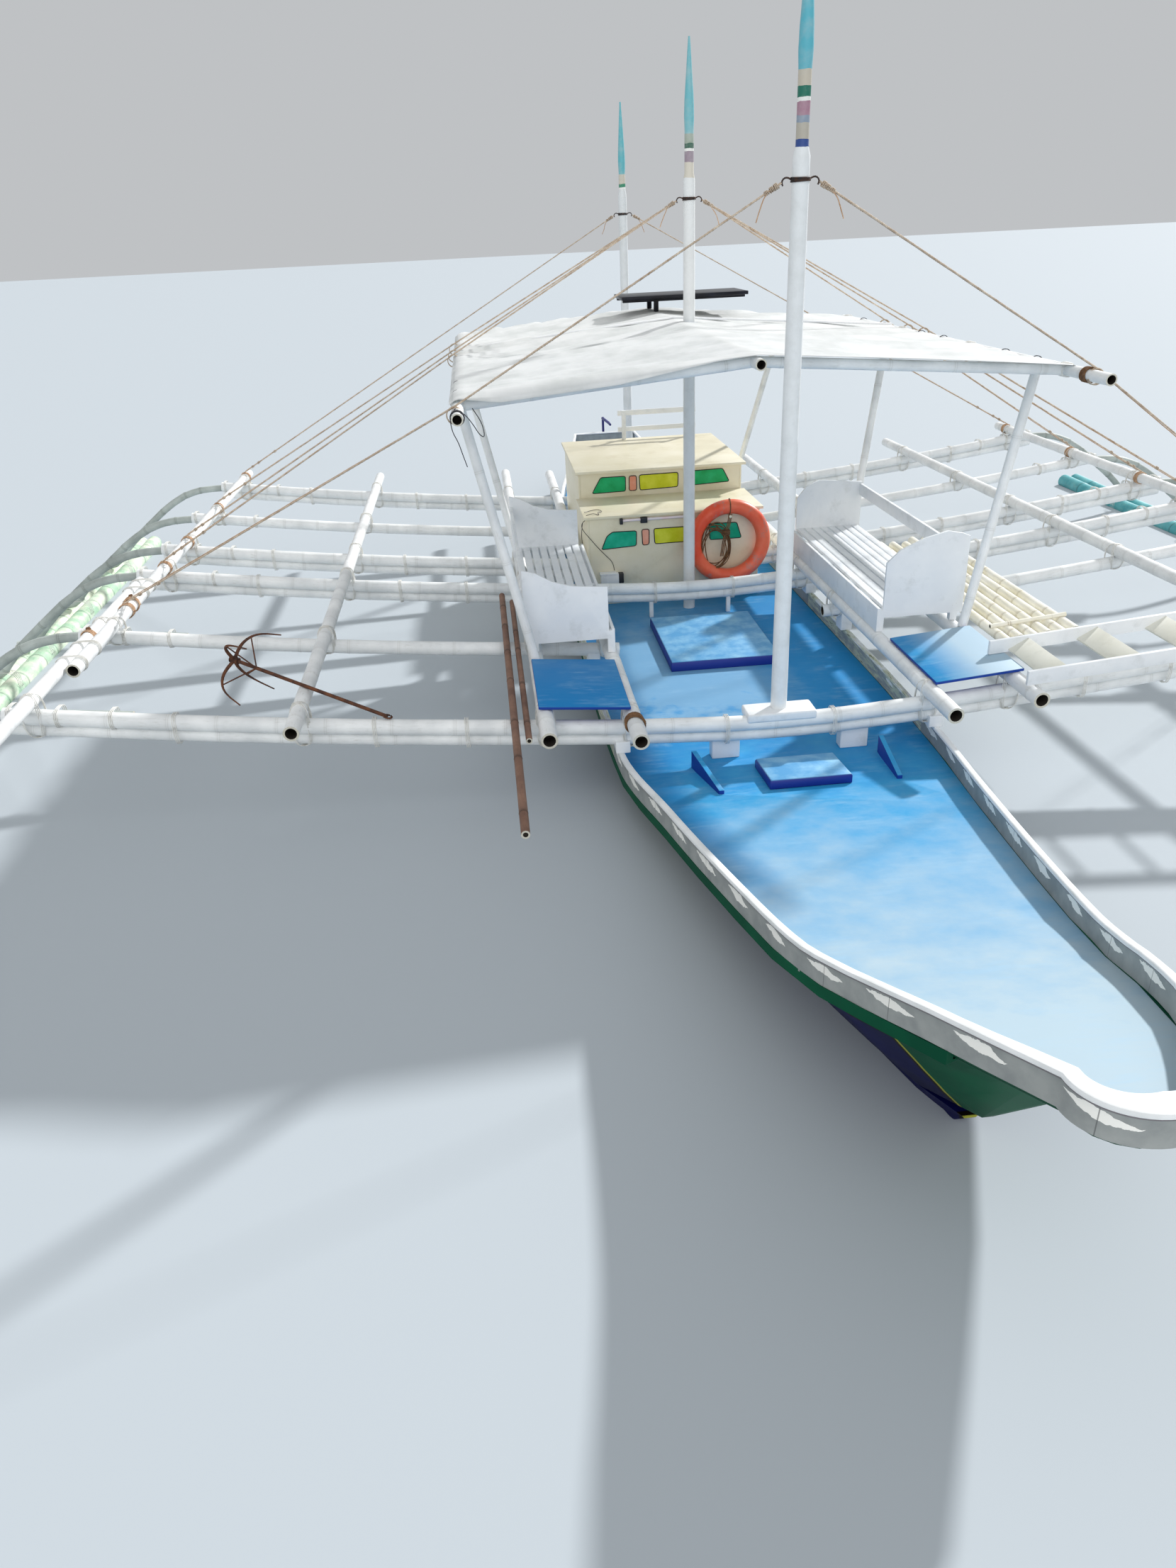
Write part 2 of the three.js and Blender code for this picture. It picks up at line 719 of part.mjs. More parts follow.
// An iron band round the mast, a hook at each side and the stays knotted to the hooks.
function stayGeometry(mast, feet, turn) {
  const { y, hooks } = masts[mast];
  const inside = headRadius + 2 * gap;
  const outside = inside + 6;
  const half = 9;
  const profile = [[inside, -half], [outside, -half], [outside, half], [inside, half], [inside, -half]];
  const ring = new THREE.LatheGeometry(profile.map(([r, z]) => new THREE.Vector2(r, z)), 12);
  const pieces = [ring.rotateX(Math.PI / 2).translate(0, y, hooks)];
  const footZ = poleTop(outerX, outerRadius) + stayRadius + gap;
  for (const side of [-1, 1]) {
    const arch = [[inside + 3, 0], [hookReach - 22, 12], [hookReach, -12]];
    pieces.push(bar(arch.map(([reach, rise]) => vec(side * reach, y, hooks + rise)), 5, 5, 6));
    for (const footY of feet) {
      const head = vec(side * hookReach, y, hooks - 12);
      const foot = vec(side * (outerX + 10), footY, footZ);
      const path = [head, foot];
      if (turn) {
        const [turnX, turnZ, turnY = y + ((footY - y) * turnX) / Math.abs(foot.x)] = turn;
        path.splice(1, 0, vec(side * turnX, turnY, turnZ));
      }
      pieces.push(bar(path, stayRadius, stayRadius, 6));
    }
    const knot = [20, 95].map((reach) => vec(side * (hookReach + reach), y, hooks - 12 - reach * 0.55));
    pieces.push(bar(knot, 15, 11, 6));
  }
  return join(pieces);
}

// Upper edges of the benches' end boards, from the outboard corner: x, height.
const scooped = [[benchOut, 1310], [1440, 1285], [1330, 1220], [1200, 1180], [1080, 1168], [benchIn, 1160]];
const arched = [[benchOut, 1330], [1470, 1355], [1370, 1375], [1210, 1335], [1050, 1265], [benchIn, 1180]];
const shouldered = [[benchOut, 1240], [1330, 1260], [1150, 1275], [1040, 1230], [benchIn, 1130]];

// End boards, a slatted seat on three bearers, an apron and a back board.
function benchGeometry(side) {
  const endBoard = (y, top) => {
    const outline = [[benchIn, seatZ - 60], [benchOut, seatZ - 60], ...top];
    return board(outline.map(([x, z]) => [side * x, z]), 20, "y", y);
  };
  const tops = side < 0 ? [scooped, scooped] : [arched, shouldered];
  const span = (a, b) => [Math.min(side * a, side * b), Math.max(side * a, side * b)];
  const pieces = [endBoard(benchFrontY, tops[0]), endBoard(benchAftY, tops[1])];
  for (const y of [benchFrontY, 2000, benchAftY - 25]) {
    pieces.push(box(...span(benchIn - 40, benchOut), y, y + 45, 795, seatZ - slatThick + 2));
    pieces.push(box(...span(benchIn - 40, benchIn + 10), y, y + 45, innerTop + gap, 800));
    pieces.push(box(...span(sideX - 25, sideX + 25), y, y + 45, sideTop + gap, 800));
  }
  const slats = 8;
  const pitch = (benchOut - benchIn - 10) / slats;
  for (let i = 0; i < slats; i += 1) {
    const from = benchIn + 5 + i * pitch;
    const across = span(from, from + pitch - 16);
    pieces.push(box(...across, benchFrontY + 10, benchAftY + 10, seatZ - slatThick, seatZ));
  }
  const apron = span(benchIn - 40, benchIn - 20);
  pieces.push(box(...apron, benchFrontY, benchAftY + 20, innerTop + gap, seatZ - 8));
  pieces.push(box(...span(benchOut - 22, benchOut), benchFrontY + 5, benchAftY + 15, 1130, 1225));
  return join(pieces);
}

// Deckhouse of boards: two stepped sides, two fronts, a shelf and a roof, open at the back.
const houseLeft = houseX - houseHalf;
const houseRight = houseX + houseHalf;
const houseFoot = deckTop(houseFrontY) + gap;

function houseSide(from) {
  const front = [[houseFrontY, houseFoot], [houseFrontY, shelfZ], [stepY, shelfZ], [stepY, roofUnderZ]];
  const outline = [...front, [houseAftY, roofUnderZ], [houseAftY, houseFoot]];
  const side = board(outline, wall, "x", from);
  const slots = beams.slice(3, 5).map(([y, , poles]) => {
    const low = crownTop(from) - 2 * beamRadius - (poles > 1 ? lowerDrop : 0) - 8;
    const high = crownTop(houseHalf) + 12;
    return box(from - 40, from + 60, y - beamRadius - 8, y + beamRadius + lowerAft + 8, low, high);
  });
  return cut(side, slots);
}

function houseFront() {
  const [left, right] = [houseLeft + wall + gap, houseRight - wall - gap];
  const panel = box(left, right, houseFrontY, houseFrontY + wall, houseFoot, shelfZ);
  const peg = bar([vec(ringX, houseFrontY + 5, 1000), vec(ringX, houseFrontY - 140, 1000)], pegRadius);
  return join([panel, peg]);
}

// A low back rail of two boards on two uprights at the roof's after edge.
function roofRail() {
  const [foot, head] = [roofUnderZ + boardThick + gap, 1585];
  const uprights = [-250, 450].map((x) => box(x, x + 40, houseAftY - 40, houseAftY - 10, foot, head));
  const boards = [[1375, 1420], [1535, head]].map(([low, high]) => {
    return box(-290, 530, houseAftY - 12, houseAftY + 8, low, high);
  });
  return join([...uprights, ...boards]);
}

function ringGeometry() {
  const torus = new THREE.TorusGeometry(ringCentre, ringTube, 10, 28);
  torus.rotateX(Math.PI / 2);
  const z = 1000 + pegRadius + 2 * gap - (ringCentre - ringTube);
  return torus.translate(ringX, houseFrontY - shelfProud - ringTube - gap, z);
}

function engineGeometry() {
  const y0 = 3830;
  const y1 = 4650;
  const block = box(-210, 210, y0 + 60, y1, 330, 800);
  const bearers = [-170, 120].map((x) => box(x, x + 50, y0, y1 + 60, houseFoot, 335));
  return join([block, ...bearers]);
}

// Shaft strut below the hull, bored for the shaft.
function bottomWithStrut() {
  const strut = box(-14, 14, 8230, 8330, shaftZ, -120);
  const boss = new THREE.CylinderGeometry(38, 38, 130, 12).translate(0, 8280, shaftZ);
  const boreRadius = shaftRadius + bearing;
  const bore = new THREE.CylinderGeometry(boreRadius, boreRadius, 1400, 12).translate(0, 7800, shaftZ);
  const stern = join([bottom(), strut, boss]);
  return cut(stern, [bore]);
}

function propeller() {
  const shaft = new THREE.CylinderGeometry(shaftRadius, shaftRadius, 1340, 12).translate(0, 7900, shaftZ);
  const hub = new THREE.CylinderGeometry(22, 34, 110, 12).translate(0, propY, shaftZ);
  const pieces = [shaft, hub];
  const blades = 3;
  for (let i = 0; i < blades; i += 1) {
    // Columns: reach from the axis, chord, pitch angle in degrees.
    const sections = [[20, 46, 62], [60, 84, 48], [110, 98, 34], [propRadius, 48, 26]];
    const rings = sections.map(([reach, chord, pitch]) => {
      const angle = THREE.MathUtils.degToRad(pitch);
      const half = chord / 2;
      const corners = [[-half, -2.5], [0, -5], [half, -2.5], [half, 2.5], [0, 5], [-half, 2.5]];
      return corners.map(([c, t]) => vec(
        c * Math.cos(angle) - t * Math.sin(angle), c * Math.sin(angle) + t * Math.cos(angle), reach,
      ));
    });
    const blade = loft(rings).rotateY((2 * Math.PI * i) / blades);
    pieces.push(blade.translate(0, propY, shaftZ));
  }
  return join(pieces);
}

// Gudgeons on the transom hold the rudder's stock.
const gudgeons = [[150, 195], [430, 475]];

function topsidesWithGudgeons() {
  const pieces = [topsides(), strakeGeometry()];
  for (const [low, high] of gudgeons) pieces.push(box(-32, 32, transomY - 60, rudderY + 34, low, high));
  const holeRadius = stockRadius + bearing;
  const hole = new THREE.CylinderGeometry(holeRadius, holeRadius, 700, 12);
  hole.rotateX(Math.PI / 2).translate(0, rudderY, 300);
  return cut(join(pieces), [hole]);
}

function rudder() {
  const stock = bar([vec(0, rudderY, -330), vec(0, rudderY, 900)], stockRadius, stockRadius, 12);
  // Columns: reach behind the stock, height.
  const outline = [[-12, -340], [200, -330], [260, -180], [240, 60], [120, 130], [-12, 130]];
  const blade = board(outline.map(([reach, z]) => [rudderY + reach, z]), 24, "x", -12);
  const collarFoot = gudgeons[0][1] + gap;
  const collar = bar([vec(0, rudderY, collarFoot), vec(0, rudderY, collarFoot + 28)], 28, 28, 12);
  const grip = [[30, 880], [-700, 930], [-900, 935]];
  const tiller = bar(grip.map(([reach, z]) => vec(0, rudderY + reach, z)), 20, 15);
  return join([stock, blade, collar, tiller]);
}

// A ladder laid outboard over the side deck and the mid pole.
function ladderGeometry() {
  const from = 1400;
  const to = 3500;
  const low = sideTop + 23.5;
  const restX = midBowX;
  const high = poleTop(restX, midRadius) + 0.6;
  const underside = (x) => low + ((high - low) * (x - sideX)) / (restX - sideX);
  const rail = (y) => board([
    [from, underside(from)], [to, underside(to)], [to, underside(to) + 90], [from, underside(from) + 90],
  ], 28, "y", y);
  const pieces = [rail(-350), rail(180)];
  const steps = 5;
  for (let i = 0; i < steps; i += 1) {
    const x = from + 110 + (i * (to - from - 260)) / (steps - 1);
    const z = underside(x) + 30;
    const outline = [[x, z], [x + 130, z + 12], [x + 130, z + 34], [x, z + 22]];
    pieces.push(board(outline, 540, "y", -335));
  }
  return join(pieces);
}

// Bamboo poles side by side across two beams, tied by two battens.
function rackGeometry() {
  const pieces = [];
  const radius = 36;
  const xs = [1700, 1795, 1890, 1985, 2080, 2175];
  for (const [i, x] of xs.entries()) {
    const z = restingOn(x, radius);
    pieces.push(bar([vec(x, 480 + (i % 2) * 70, z), vec(x, 3060 - (i % 3) * 50, z)], radius));
  }
  for (const y of [760, 2450]) {
    const batten = [1670, 2205].map((x) => vec(x, y, restingOn(x, radius) + radius + 6));
    pieces.push(bar(batten, 16, 16, 6));
  }
  return join(pieces);
}

// Loose brown poles laid over the beams: x, y from, y to, radius.
const puntPoles = [[-1660, -1450, 2450, 24], [-1585, -350, 2300, 20]];

function anchorGeometry() {
  const tail = vec(-2420, 20, crownTop(2420) + 12.6);
  const over = vec(-midX, 260, poleTop(midX, midRadius) + 12.5);
  const hub = over.clone().add(over.clone().sub(tail).multiplyScalar(0.72));
  const along = hub.clone().sub(tail).normalize();
  const side = vec(0, 1, 0).addScaledVector(along, -along.y).normalize();
  const rise = vec(0, 0, 0).crossVectors(along, side);
  const [from, to] = [-30, 25].map((reach) => hub.clone().addScaledVector(along, reach));
  const pieces = [bar([tail, hub], 12), bar([from, to], 26)];
  for (let i = 0; i < 4; i += 1) {
    const angle = Math.PI / 4 + (i * Math.PI) / 2;
    const out = side.clone().multiplyScalar(Math.cos(angle)).addScaledVector(rise, Math.sin(angle));
    // Columns: reach outwards, reach back along the shank.
    const curve = [[0, 0], [110, 15], [190, -40], [235, -140]];
    const onCurve = ([reach, back]) => hub.clone().addScaledVector(out, reach).addScaledVector(along, back);
    pieces.push(bar(curve.map(onCurve), 11, 7, 6));
  }
  return join(pieces);
}

function buildHull() {
  add("hull_bottom", bottomWithStrut(), "navy");
  add("hull_topsides", topsidesWithGudgeons(), "green");
  add("deck", deckGeometry(), "blue");
  add("rail", railGeometry(), "white");
  for (const [name, ...size] of lids) add(name, lidGeometry(...size), "blue");
}

function buildOutriggers() {
  beams.forEach(([starboardY, portY, poles, props], i) => {
    const name = `beam_${i + 1}`;
    if (starboardY === portY) add(name, beamGeometry(portY, poles, [-1, 1], props), "bamboo");
    else {
      add(`${name}_starboard`, beamGeometry(starboardY, poles, [-1], props), "bamboo");
      add(`${name}_port`, beamGeometry(portY, poles, [1], props), "bamboo");
    }
  });
  for (const [tag, side] of [["starboard", -1], ["port", 1]]) {
    for (const [name, starboard, port, ...rest] of longPoles) {
      add(`${name}_${tag}`, longPole(side, side < 0 ? starboard : port, ...rest), "bamboo");
    }
    add(`outer_pole_${tag}`, outerPole(side), "bamboo");
    add(`float_${tag}`, floatGeometry(side), "teal");
    add(`side_deck_${tag}`, sideDeck(side), "blue");
    add(`bench_${tag}`, benchGeometry(side), "white");
    for (const [name, ...ends] of posts) add(`post_${name}_${tag}`, postGeometry(side, ...ends), "white");
  }
}

function buildRig() {
  for (const mast of masts) add(mast.name, mastGeometry(mast), "white");
  for (const [mast, ...rest] of stayFeet) {
    add(`stays_${masts[mast].name.slice(5)}`, stayGeometry(mast, ...rest), "rope");
  }
  add("roof_frame", roofFrame(), "white");
  add("canopy", canopyGeometry(), "tarp");
  add("canopy_batten", canopyBatten(), "grey");
  add("post_aft_port", aftPost(), "white");
  add("roof_panel", roofPanel(), "dark");
}

function buildHouse() {
  add("house_side_starboard", houseSide(houseLeft), "cream");
  add("house_side_port", houseSide(houseRight - wall), "cream");
  add("house_front", houseFront(), "cream");
  const overhang = 30;
  const [left, right] = [houseLeft - overhang, houseRight + overhang];
  const shelfFrontY = houseFrontY - shelfProud;
  add("house_shelf", box(left, right, shelfFrontY, stepY - gap, shelfZ + gap, shelfZ + boardThick), "cream");
  const inside = wall + gap;
  const upper = box(houseLeft + inside, houseRight - inside, stepY, stepY + wall, shelfZ - 40, roofUnderZ);
  add("house_upper_front", upper, "cream");
  const roof = box(left, right, stepY - 60, houseAftY + 40, roofUnderZ + gap, roofUnderZ + boardThick);
  add("house_roof", roof, "cream");
  add("roof_rail", roofRail(), "white");
  add("engine", engineGeometry(), "dark");
}

function buildFittings() {
  add("propeller", propeller(), "bronze");
  add("rudder", rudder(), "navy");
  add("life_ring", ringGeometry(), "orange");
  add("boarding_ladder", ladderGeometry(), "white");
  add("bamboo_rack", rackGeometry(), "bamboo");
  puntPoles.forEach(([x, from, to, radius], i) => {
    const z = restingOn(x, radius);
    add(`punt_pole_${i + 1}`, bar([vec(x, from, z), vec(x, to, z)], radius), "brown");
  });
  add("anchor", anchorGeometry(), "rust");
}

buildHull();
buildOutriggers();
buildRig();
buildHouse();
buildFittings();

export default boat;
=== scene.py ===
# Looks of the outrigger passenger boat. Metres, bow along -Y, port +X, waterline at Z = 0.
import json
import math
import random
from functools import partial

import bmesh
import bpy
from mathutils import Matrix, Vector


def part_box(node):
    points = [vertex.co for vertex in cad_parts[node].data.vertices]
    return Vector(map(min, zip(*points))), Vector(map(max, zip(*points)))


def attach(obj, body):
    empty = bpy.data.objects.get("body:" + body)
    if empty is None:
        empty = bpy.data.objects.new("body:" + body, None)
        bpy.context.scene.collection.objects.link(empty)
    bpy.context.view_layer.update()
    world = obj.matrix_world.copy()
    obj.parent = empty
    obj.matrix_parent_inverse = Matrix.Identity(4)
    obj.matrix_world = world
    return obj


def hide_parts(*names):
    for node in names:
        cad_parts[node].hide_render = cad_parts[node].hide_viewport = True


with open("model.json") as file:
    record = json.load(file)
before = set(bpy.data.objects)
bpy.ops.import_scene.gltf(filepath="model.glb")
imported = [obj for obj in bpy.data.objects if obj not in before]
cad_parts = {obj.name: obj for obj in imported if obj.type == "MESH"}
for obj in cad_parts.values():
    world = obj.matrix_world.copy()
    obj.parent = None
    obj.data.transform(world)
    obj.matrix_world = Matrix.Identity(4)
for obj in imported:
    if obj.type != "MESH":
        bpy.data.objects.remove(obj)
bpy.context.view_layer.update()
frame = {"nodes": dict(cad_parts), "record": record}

bodyOf = {node: body for body, nodes in frame["record"]["behaviour"]["bodies"].items() for node in nodes}
print("frame loaded:", len(frame["nodes"]), "nodes")


# Camera at the photograph's place, from a fitted view of 1659 x 2212 pixels.
cameraView = {
    "place": (-1.70083, -6.0114, 3.30993), "yaw": -0.0785264, "pitch": 0.480083, "roll": -0.0490726,
    "focalPixels": 1512.25, "framePixels": 2212, "sensorHeight": 36.0,
}


def buildCamera(view):
    yaw, pitch, roll = view["yaw"], view["pitch"], view["roll"]
    ahead = Vector((-math.sin(yaw) * math.cos(pitch), math.cos(yaw) * math.cos(pitch), -math.sin(pitch)))
    level = Vector((math.cos(yaw), math.sin(yaw), 0))
    upright = level.cross(ahead)
    right = level * math.cos(roll) + upright * math.sin(roll)
    up = upright * math.cos(roll) - level * math.sin(roll)
    turn = Matrix((right, up, -ahead)).transposed().to_4x4()
    data = bpy.data.cameras.new("camera")
    data.sensor_fit = "VERTICAL"
    data.sensor_height = view["sensorHeight"]
    data.lens = view["focalPixels"] / view["framePixels"] * view["sensorHeight"]
    data.clip_end = 400
    camera = bpy.data.objects.new("camera", data)
    camera.matrix_world = Matrix.Translation(view["place"]) @ turn
    bpy.context.collection.objects.link(camera)
    bpy.context.scene.camera = camera


buildCamera(cameraView)
print("camera placed")


# Helpers for colours, nodes and finishes.
def fromHex(code):
    parts = [int(code[i:i + 2], 16) / 255 for i in (1, 3, 5)]
    linear = [c / 12.92 if c <= 0.04045 else ((c + 0.055) / 1.055) ** 2.4 for c in parts]
    return (*linear, 1.0)


# Short names of the nodes used most: full name, sockets that values fill in order, settings.
shortKinds = {
    "noise": ("ShaderNodeTexNoise", {"Vector": None, "Scale": None, "Detail": 4, "Roughness": 0.55}, {}),
    "range": ("ShaderNodeMapRange", dict.fromkeys(range(5)), {}),
    "mix": ("ShaderNodeMix", {0: None, 6: None, 7: None}, {"data_type": "RGBA"}),
    "split": ("ShaderNodeSeparateXYZ", {}, {}),
}


# Adds a node with its settings and links. A name in capitals is an operation of the Math node,
# a node given as a value stands for its first live output, and a hex code for its colour.
def addNode(tree, kind, *values, **settings):
    sums = ("ShaderNodeMath", {}, {"operation": kind})
    full, sockets, preset = sums if kind.isupper() else shortKinds.get(kind, (kind, {}, {}))
    made = tree.nodes.new(full)
    for key, value in {**preset, **settings}.items():
        setattr(made, key, value)
    given = values[0] if values and isinstance(values[0], dict) else dict(zip(sockets or range(9), values))
    for key, value in {**sockets, **given}.items():
        if isinstance(value, bpy.types.Node):
            value = next(output for output in value.outputs if output.enabled)
        if isinstance(value, bpy.types.NodeSocket):
            tree.links.new(value, made.inputs[key])
        elif value is not None:
            made.inputs[key].default_value = fromHex(value) if str(value).startswith("#") else value
    return made


def sizeMm(millimetres):
    return 1000 / millimetres  # noise scale that gives features of this size


def bandsMm(millimetres):
    return sizeMm(millimetres) / 20  # the same for the bands of a wave


def newFinish(name):
    finish = bpy.data.materials.new(name)
    finish.use_nodes = True
    finish.node_tree.nodes.clear()
    return finish, partial(addNode, finish.node_tree)


# Ends a finish with its bump, its shader and the output.
def closeFinish(finish, add, colour, roughness, height, strength, depth=0.002, more=None):
    bump = add("ShaderNodeBump", {"Strength": strength, "Distance": depth, "Height": height})
    shader = {"Base Color": colour, "Roughness": roughness, "Normal": bump, **(more or {})}
    add("ShaderNodeOutputMaterial", add("ShaderNodeBsdfPrincipled", shader))
    return finish


def objectPlace(add, stretch=(1, 1, 1)):
    place = add("ShaderNodeTexCoord").outputs["Object"]
    return add("ShaderNodeMapping", {"Vector": place, "Scale": stretch})


# Patches of noise, from none below the low level to full above the high one.
def blotches(add, place, size, low, high, *detail):
    return add("range", add("noise", place, sizeMm(size), *detail), low, high)


# Lays a tone over a colour where the mask is, at a share of its full strength.
def laidOver(add, colour, tone, mask, share):
    return add("mix", add("MULTIPLY", mask, share), colour, tone)


def marksOf(add, *names):
    return [add("ShaderNodeAttribute", attribute_name=name).outputs["Fac"] for name in names]


def facingUp(add):
    return add("split", add("ShaderNodeNewGeometry").outputs["Normal"]).outputs[2]


# Reads rows of place and level, both in metres, as one line of straight runs.
def lineOf(add, value, rows):
    start, end = rows[0][0], rows[-1][0]
    low, high = min(level for _, level in rows), max(level for _, level in rows)
    curve = add("ShaderNodeFloatCurve", {"Value": add("range", value, start, end)})
    points = curve.mapping.curves[0].points
    while len(points) < len(rows):
        points.new(0.5, 0.5)
    for point, (at, level) in zip(points, rows):
        point.location = ((at - start) / (end - start), (level - low) / (high - low))
        point.handle_type = "VECTOR"
    curve.mapping.update()
    return add("range", curve, 0.0, 1.0, low, high)


# Brushed enamel: a base with sun-bleached and grimy patches, chips, brush marks and a dull gloss.
# Sizes are in millimetres, rough runs from the fresh to the bleached patches.
enamelBase = {
    "patch": 420, "speck": 22, "brush": 90, "grimeSize": 170, "grimeShare": 0.55, "chipFrom": 0.69,
    "rough": (0.38, 0.62), "bump": 0.25,
}


def enamel(name, look):
    look = {**enamelBase, **look}
    finish, add = newFinish(name)
    place = objectPlace(add)
    patches = add("noise", place, sizeMm(look["patch"]), 5)
    specks = add("noise", place, sizeMm(look["speck"]), 6, 0.7)
    brush = add("noise", objectPlace(add, (1, 12, 12)), sizeMm(look["brush"]), 5)
    colour = add("mix", add("range", patches, 0.38, 0.66), look["base"], look["bleached"])
    grime = blotches(add, place, look["grimeSize"], 0.53, 0.74, 7, 0.68)
    colour = laidOver(add, colour, look["grime"], grime, look["grimeShare"])
    chips = add("range", specks, look["chipFrom"], look["chipFrom"] + 0.03)
    colour = laidOver(add, colour, look["chip"], chips, 0.8)
    height = add("ADD", add("MULTIPLY", brush, 0.6), add("MULTIPLY", specks, 0.4))
    gloss = add("range", patches, 0.3, 0.7, *look["rough"])
    return closeFinish(finish, add, colour, gloss, height, look["bump"])


whiteBoard = {
    "base": "#e8ebee", "bleached": "#f7f8f8", "grime": "#c4c7c6", "chip": "#b0aa9e", "patch": 520,
    "rough": (0.42, 0.62),
}
whiteBoardEnamel = enamel("white_enamel_on_board", whiteBoard)  # flat brushed white, chalky
creamBoardEnamel = enamel("cream_enamel_on_plywood", {
    **whiteBoard, "base": "#e9e0c2", "bleached": "#f3ecd6", "grime": "#cdbf9c", "chip": "#b8a888",
    "grimeShare": 0.4, "rough": (0.3, 0.5),
})  # glossier, warm
# The steps' ivory: a warmer cream paint, a little darker than the rails' white as painted shade.
ivoryBoardEnamel = enamel("ivory_enamel_on_board", {
    **whiteBoard, "base": "#dfdecf", "bleached": "#ecebe0", "grime": "#bdbbaa", "chip": "#a8a290",
})  # the ladder's steps
engineEnamel = enamel("oily_grey_engine_enamel", {
    "base": "#343c44", "bleached": "#4a545c", "grime": "#17191c", "chip": "#6e5a48", "rough": (0.3, 0.6),
})
bracketEnamel = enamel("black_enamel_on_steel", {
    "base": "#1c1d20", "bleached": "#2c2d31", "grime": "#101114", "chip": "#5a4638", "rough": (0.3, 0.5),
})


# Deck enamel: deep on upright faces as painted shade, paler towards the bow as painted sunlit glare,
# with faint brush streaks across and a darker margin that fades out along the starboard rail.
deckLook = {
    "main": "#0e8aca", "fore": "#3099cf", "bow": "#adc3cf", "margin": "#007cc0", "side": "#0f3d9a",
    "sunGlare": "#79aacd", "scuff": "#9cc4de", "rim": "#034a33", "cloud": 900, "mottle": 260, "streak": 45,
    "scuffSize": 300,
    # Where each tone sets in and where it is full. Painted glare across, from ahead and towards the house.
    "sunGlareX": (0.5, 0.1), "sunGlareY": (0.45, 0.9), "sunGlareEnd": (3.2, 2.2, 0.3, 0.9),
    "foreY": (0.3, -0.5), "bowY": (-0.5, -3.1), "portX": (1.02, 1.3), "starboardX": (-0.96, -1.1),
    "marginIn": (0.36, 0.2), "marginY": (-2.3, -0.9), "rimWide": 0.07, "rimY": -2.0,
    # Rail's half breadth: y, x.
    "edge": [
        (-4.05, 0.0), (-3.9, 0.2), (-3.5, 0.4), (-2.93, 0.56), (-2.0, 0.735), (-1.0, 0.89), (0.0, 1.03),
        (1.2, 1.06),
    ],
}


def deckEnamelFinish(look):
    finish, add = newFinish("sky_blue_deck_enamel")
    place = objectPlace(add)
    parts = add("split", place).outputs
    cloud = add("noise", place, sizeMm(look["cloud"]), 3)
    cloud = add("MULTIPLY", add("SUBTRACT", cloud, 0.5), 1.6)
    mottle = add("noise", place, sizeMm(look["mottle"]), 6, 0.62)
    mottle = add("MULTIPLY", add("SUBTRACT", mottle, 0.5), 2.6)
    reach = add("ADD", add("ADD", parts[1], cloud), mottle)
    # Painted sunlit glare: the main deck is pale from its starboard side to the lid and forward of it.
    across = add("range", add("ADD", parts[0], add("MULTIPLY", mottle, 0.15)), *look["sunGlareX"])
    sunGlare = add("MULTIPLY", across, add("range", reach, *look["sunGlareY"]))
    sunGlare = add("MULTIPLY", sunGlare, add("range", reach, *look["sunGlareEnd"]))
    colour = add("mix", sunGlare, look["main"], look["sunGlare"])
    # Painted sunlit glare: paler ahead of the beam and palest at the bow.
    for tone in ("fore", "bow"):
        colour = add("mix", add("range", reach, *look[tone + "Y"]), colour, look[tone])
    # Painted light: the port side deck is pale as sunlit glare, the starboard one deep as shade.
    for side, share, tone in (("portX", 0.9, "bow"), ("starboardX", 0.8, "margin")):
        there = add("MULTIPLY", add("range", parts[0], *look[side]), share)
        colour = add("mix", there, colour, look[tone])
    inward = add("ADD", parts[0], lineOf(add, parts[1], look["edge"]))
    inward = add("ADD", inward, add("MULTIPLY", cloud, 0.15))
    margin = add("range", inward, *look["marginIn"])
    margin = add("MULTIPLY", margin, add("range", parts[1], *look["marginY"]))
    colour = laidOver(add, colour, look["margin"], margin, 0.6)
    streaks = add("noise", objectPlace(add, (0.22, 1, 1)), sizeMm(look["streak"]), 7, 0.65)
    area = blotches(add, place, look["scuffSize"], 0.42, 0.7, 4)
    scuffs = add("MULTIPLY", add("range", streaks, 0.46, 0.72), add("MULTIPLY", area, 0.5))
    colour = add("mix", scuffs, colour, look["scuff"])
    # The slab's own edge shows only at the bow, where it is painted with the hull.
    outboard = add("SUBTRACT", lineOf(add, parts[1], look["edge"]), add("ABSOLUTE", parts[0]))
    rim = add("LESS_THAN", outboard, look["rimWide"])
    rim = add("MULTIPLY", rim, add("LESS_THAN", parts[1], look["rimY"]))
    # Painted shade: upright faces take the deep side colour, save the green rim at the bow.
    upright = add("mix", rim, look["side"], look["rim"])
    colour = add("mix", add("range", facingUp(add), 0.5, 0.85), upright, colour)
    bump = add("ShaderNodeBump", {"Strength": 0.2, "Distance": 0.002, "Height": streaks})
    add("ShaderNodeOutputMaterial", add("ShaderNodeBsdfPrincipled", {
        "Base Color": colour, "Roughness": 0.6, "Normal": bump, "Specular IOR Level": 0.1, "Coat Weight": 0.4,
        "Coat Roughness": add("range", streaks, 0.3, 0.7, 0.42, 0.56), "Coat Normal": bump,
    }))
    return finish


deckEnamel = deckEnamelFinish(deckLook)


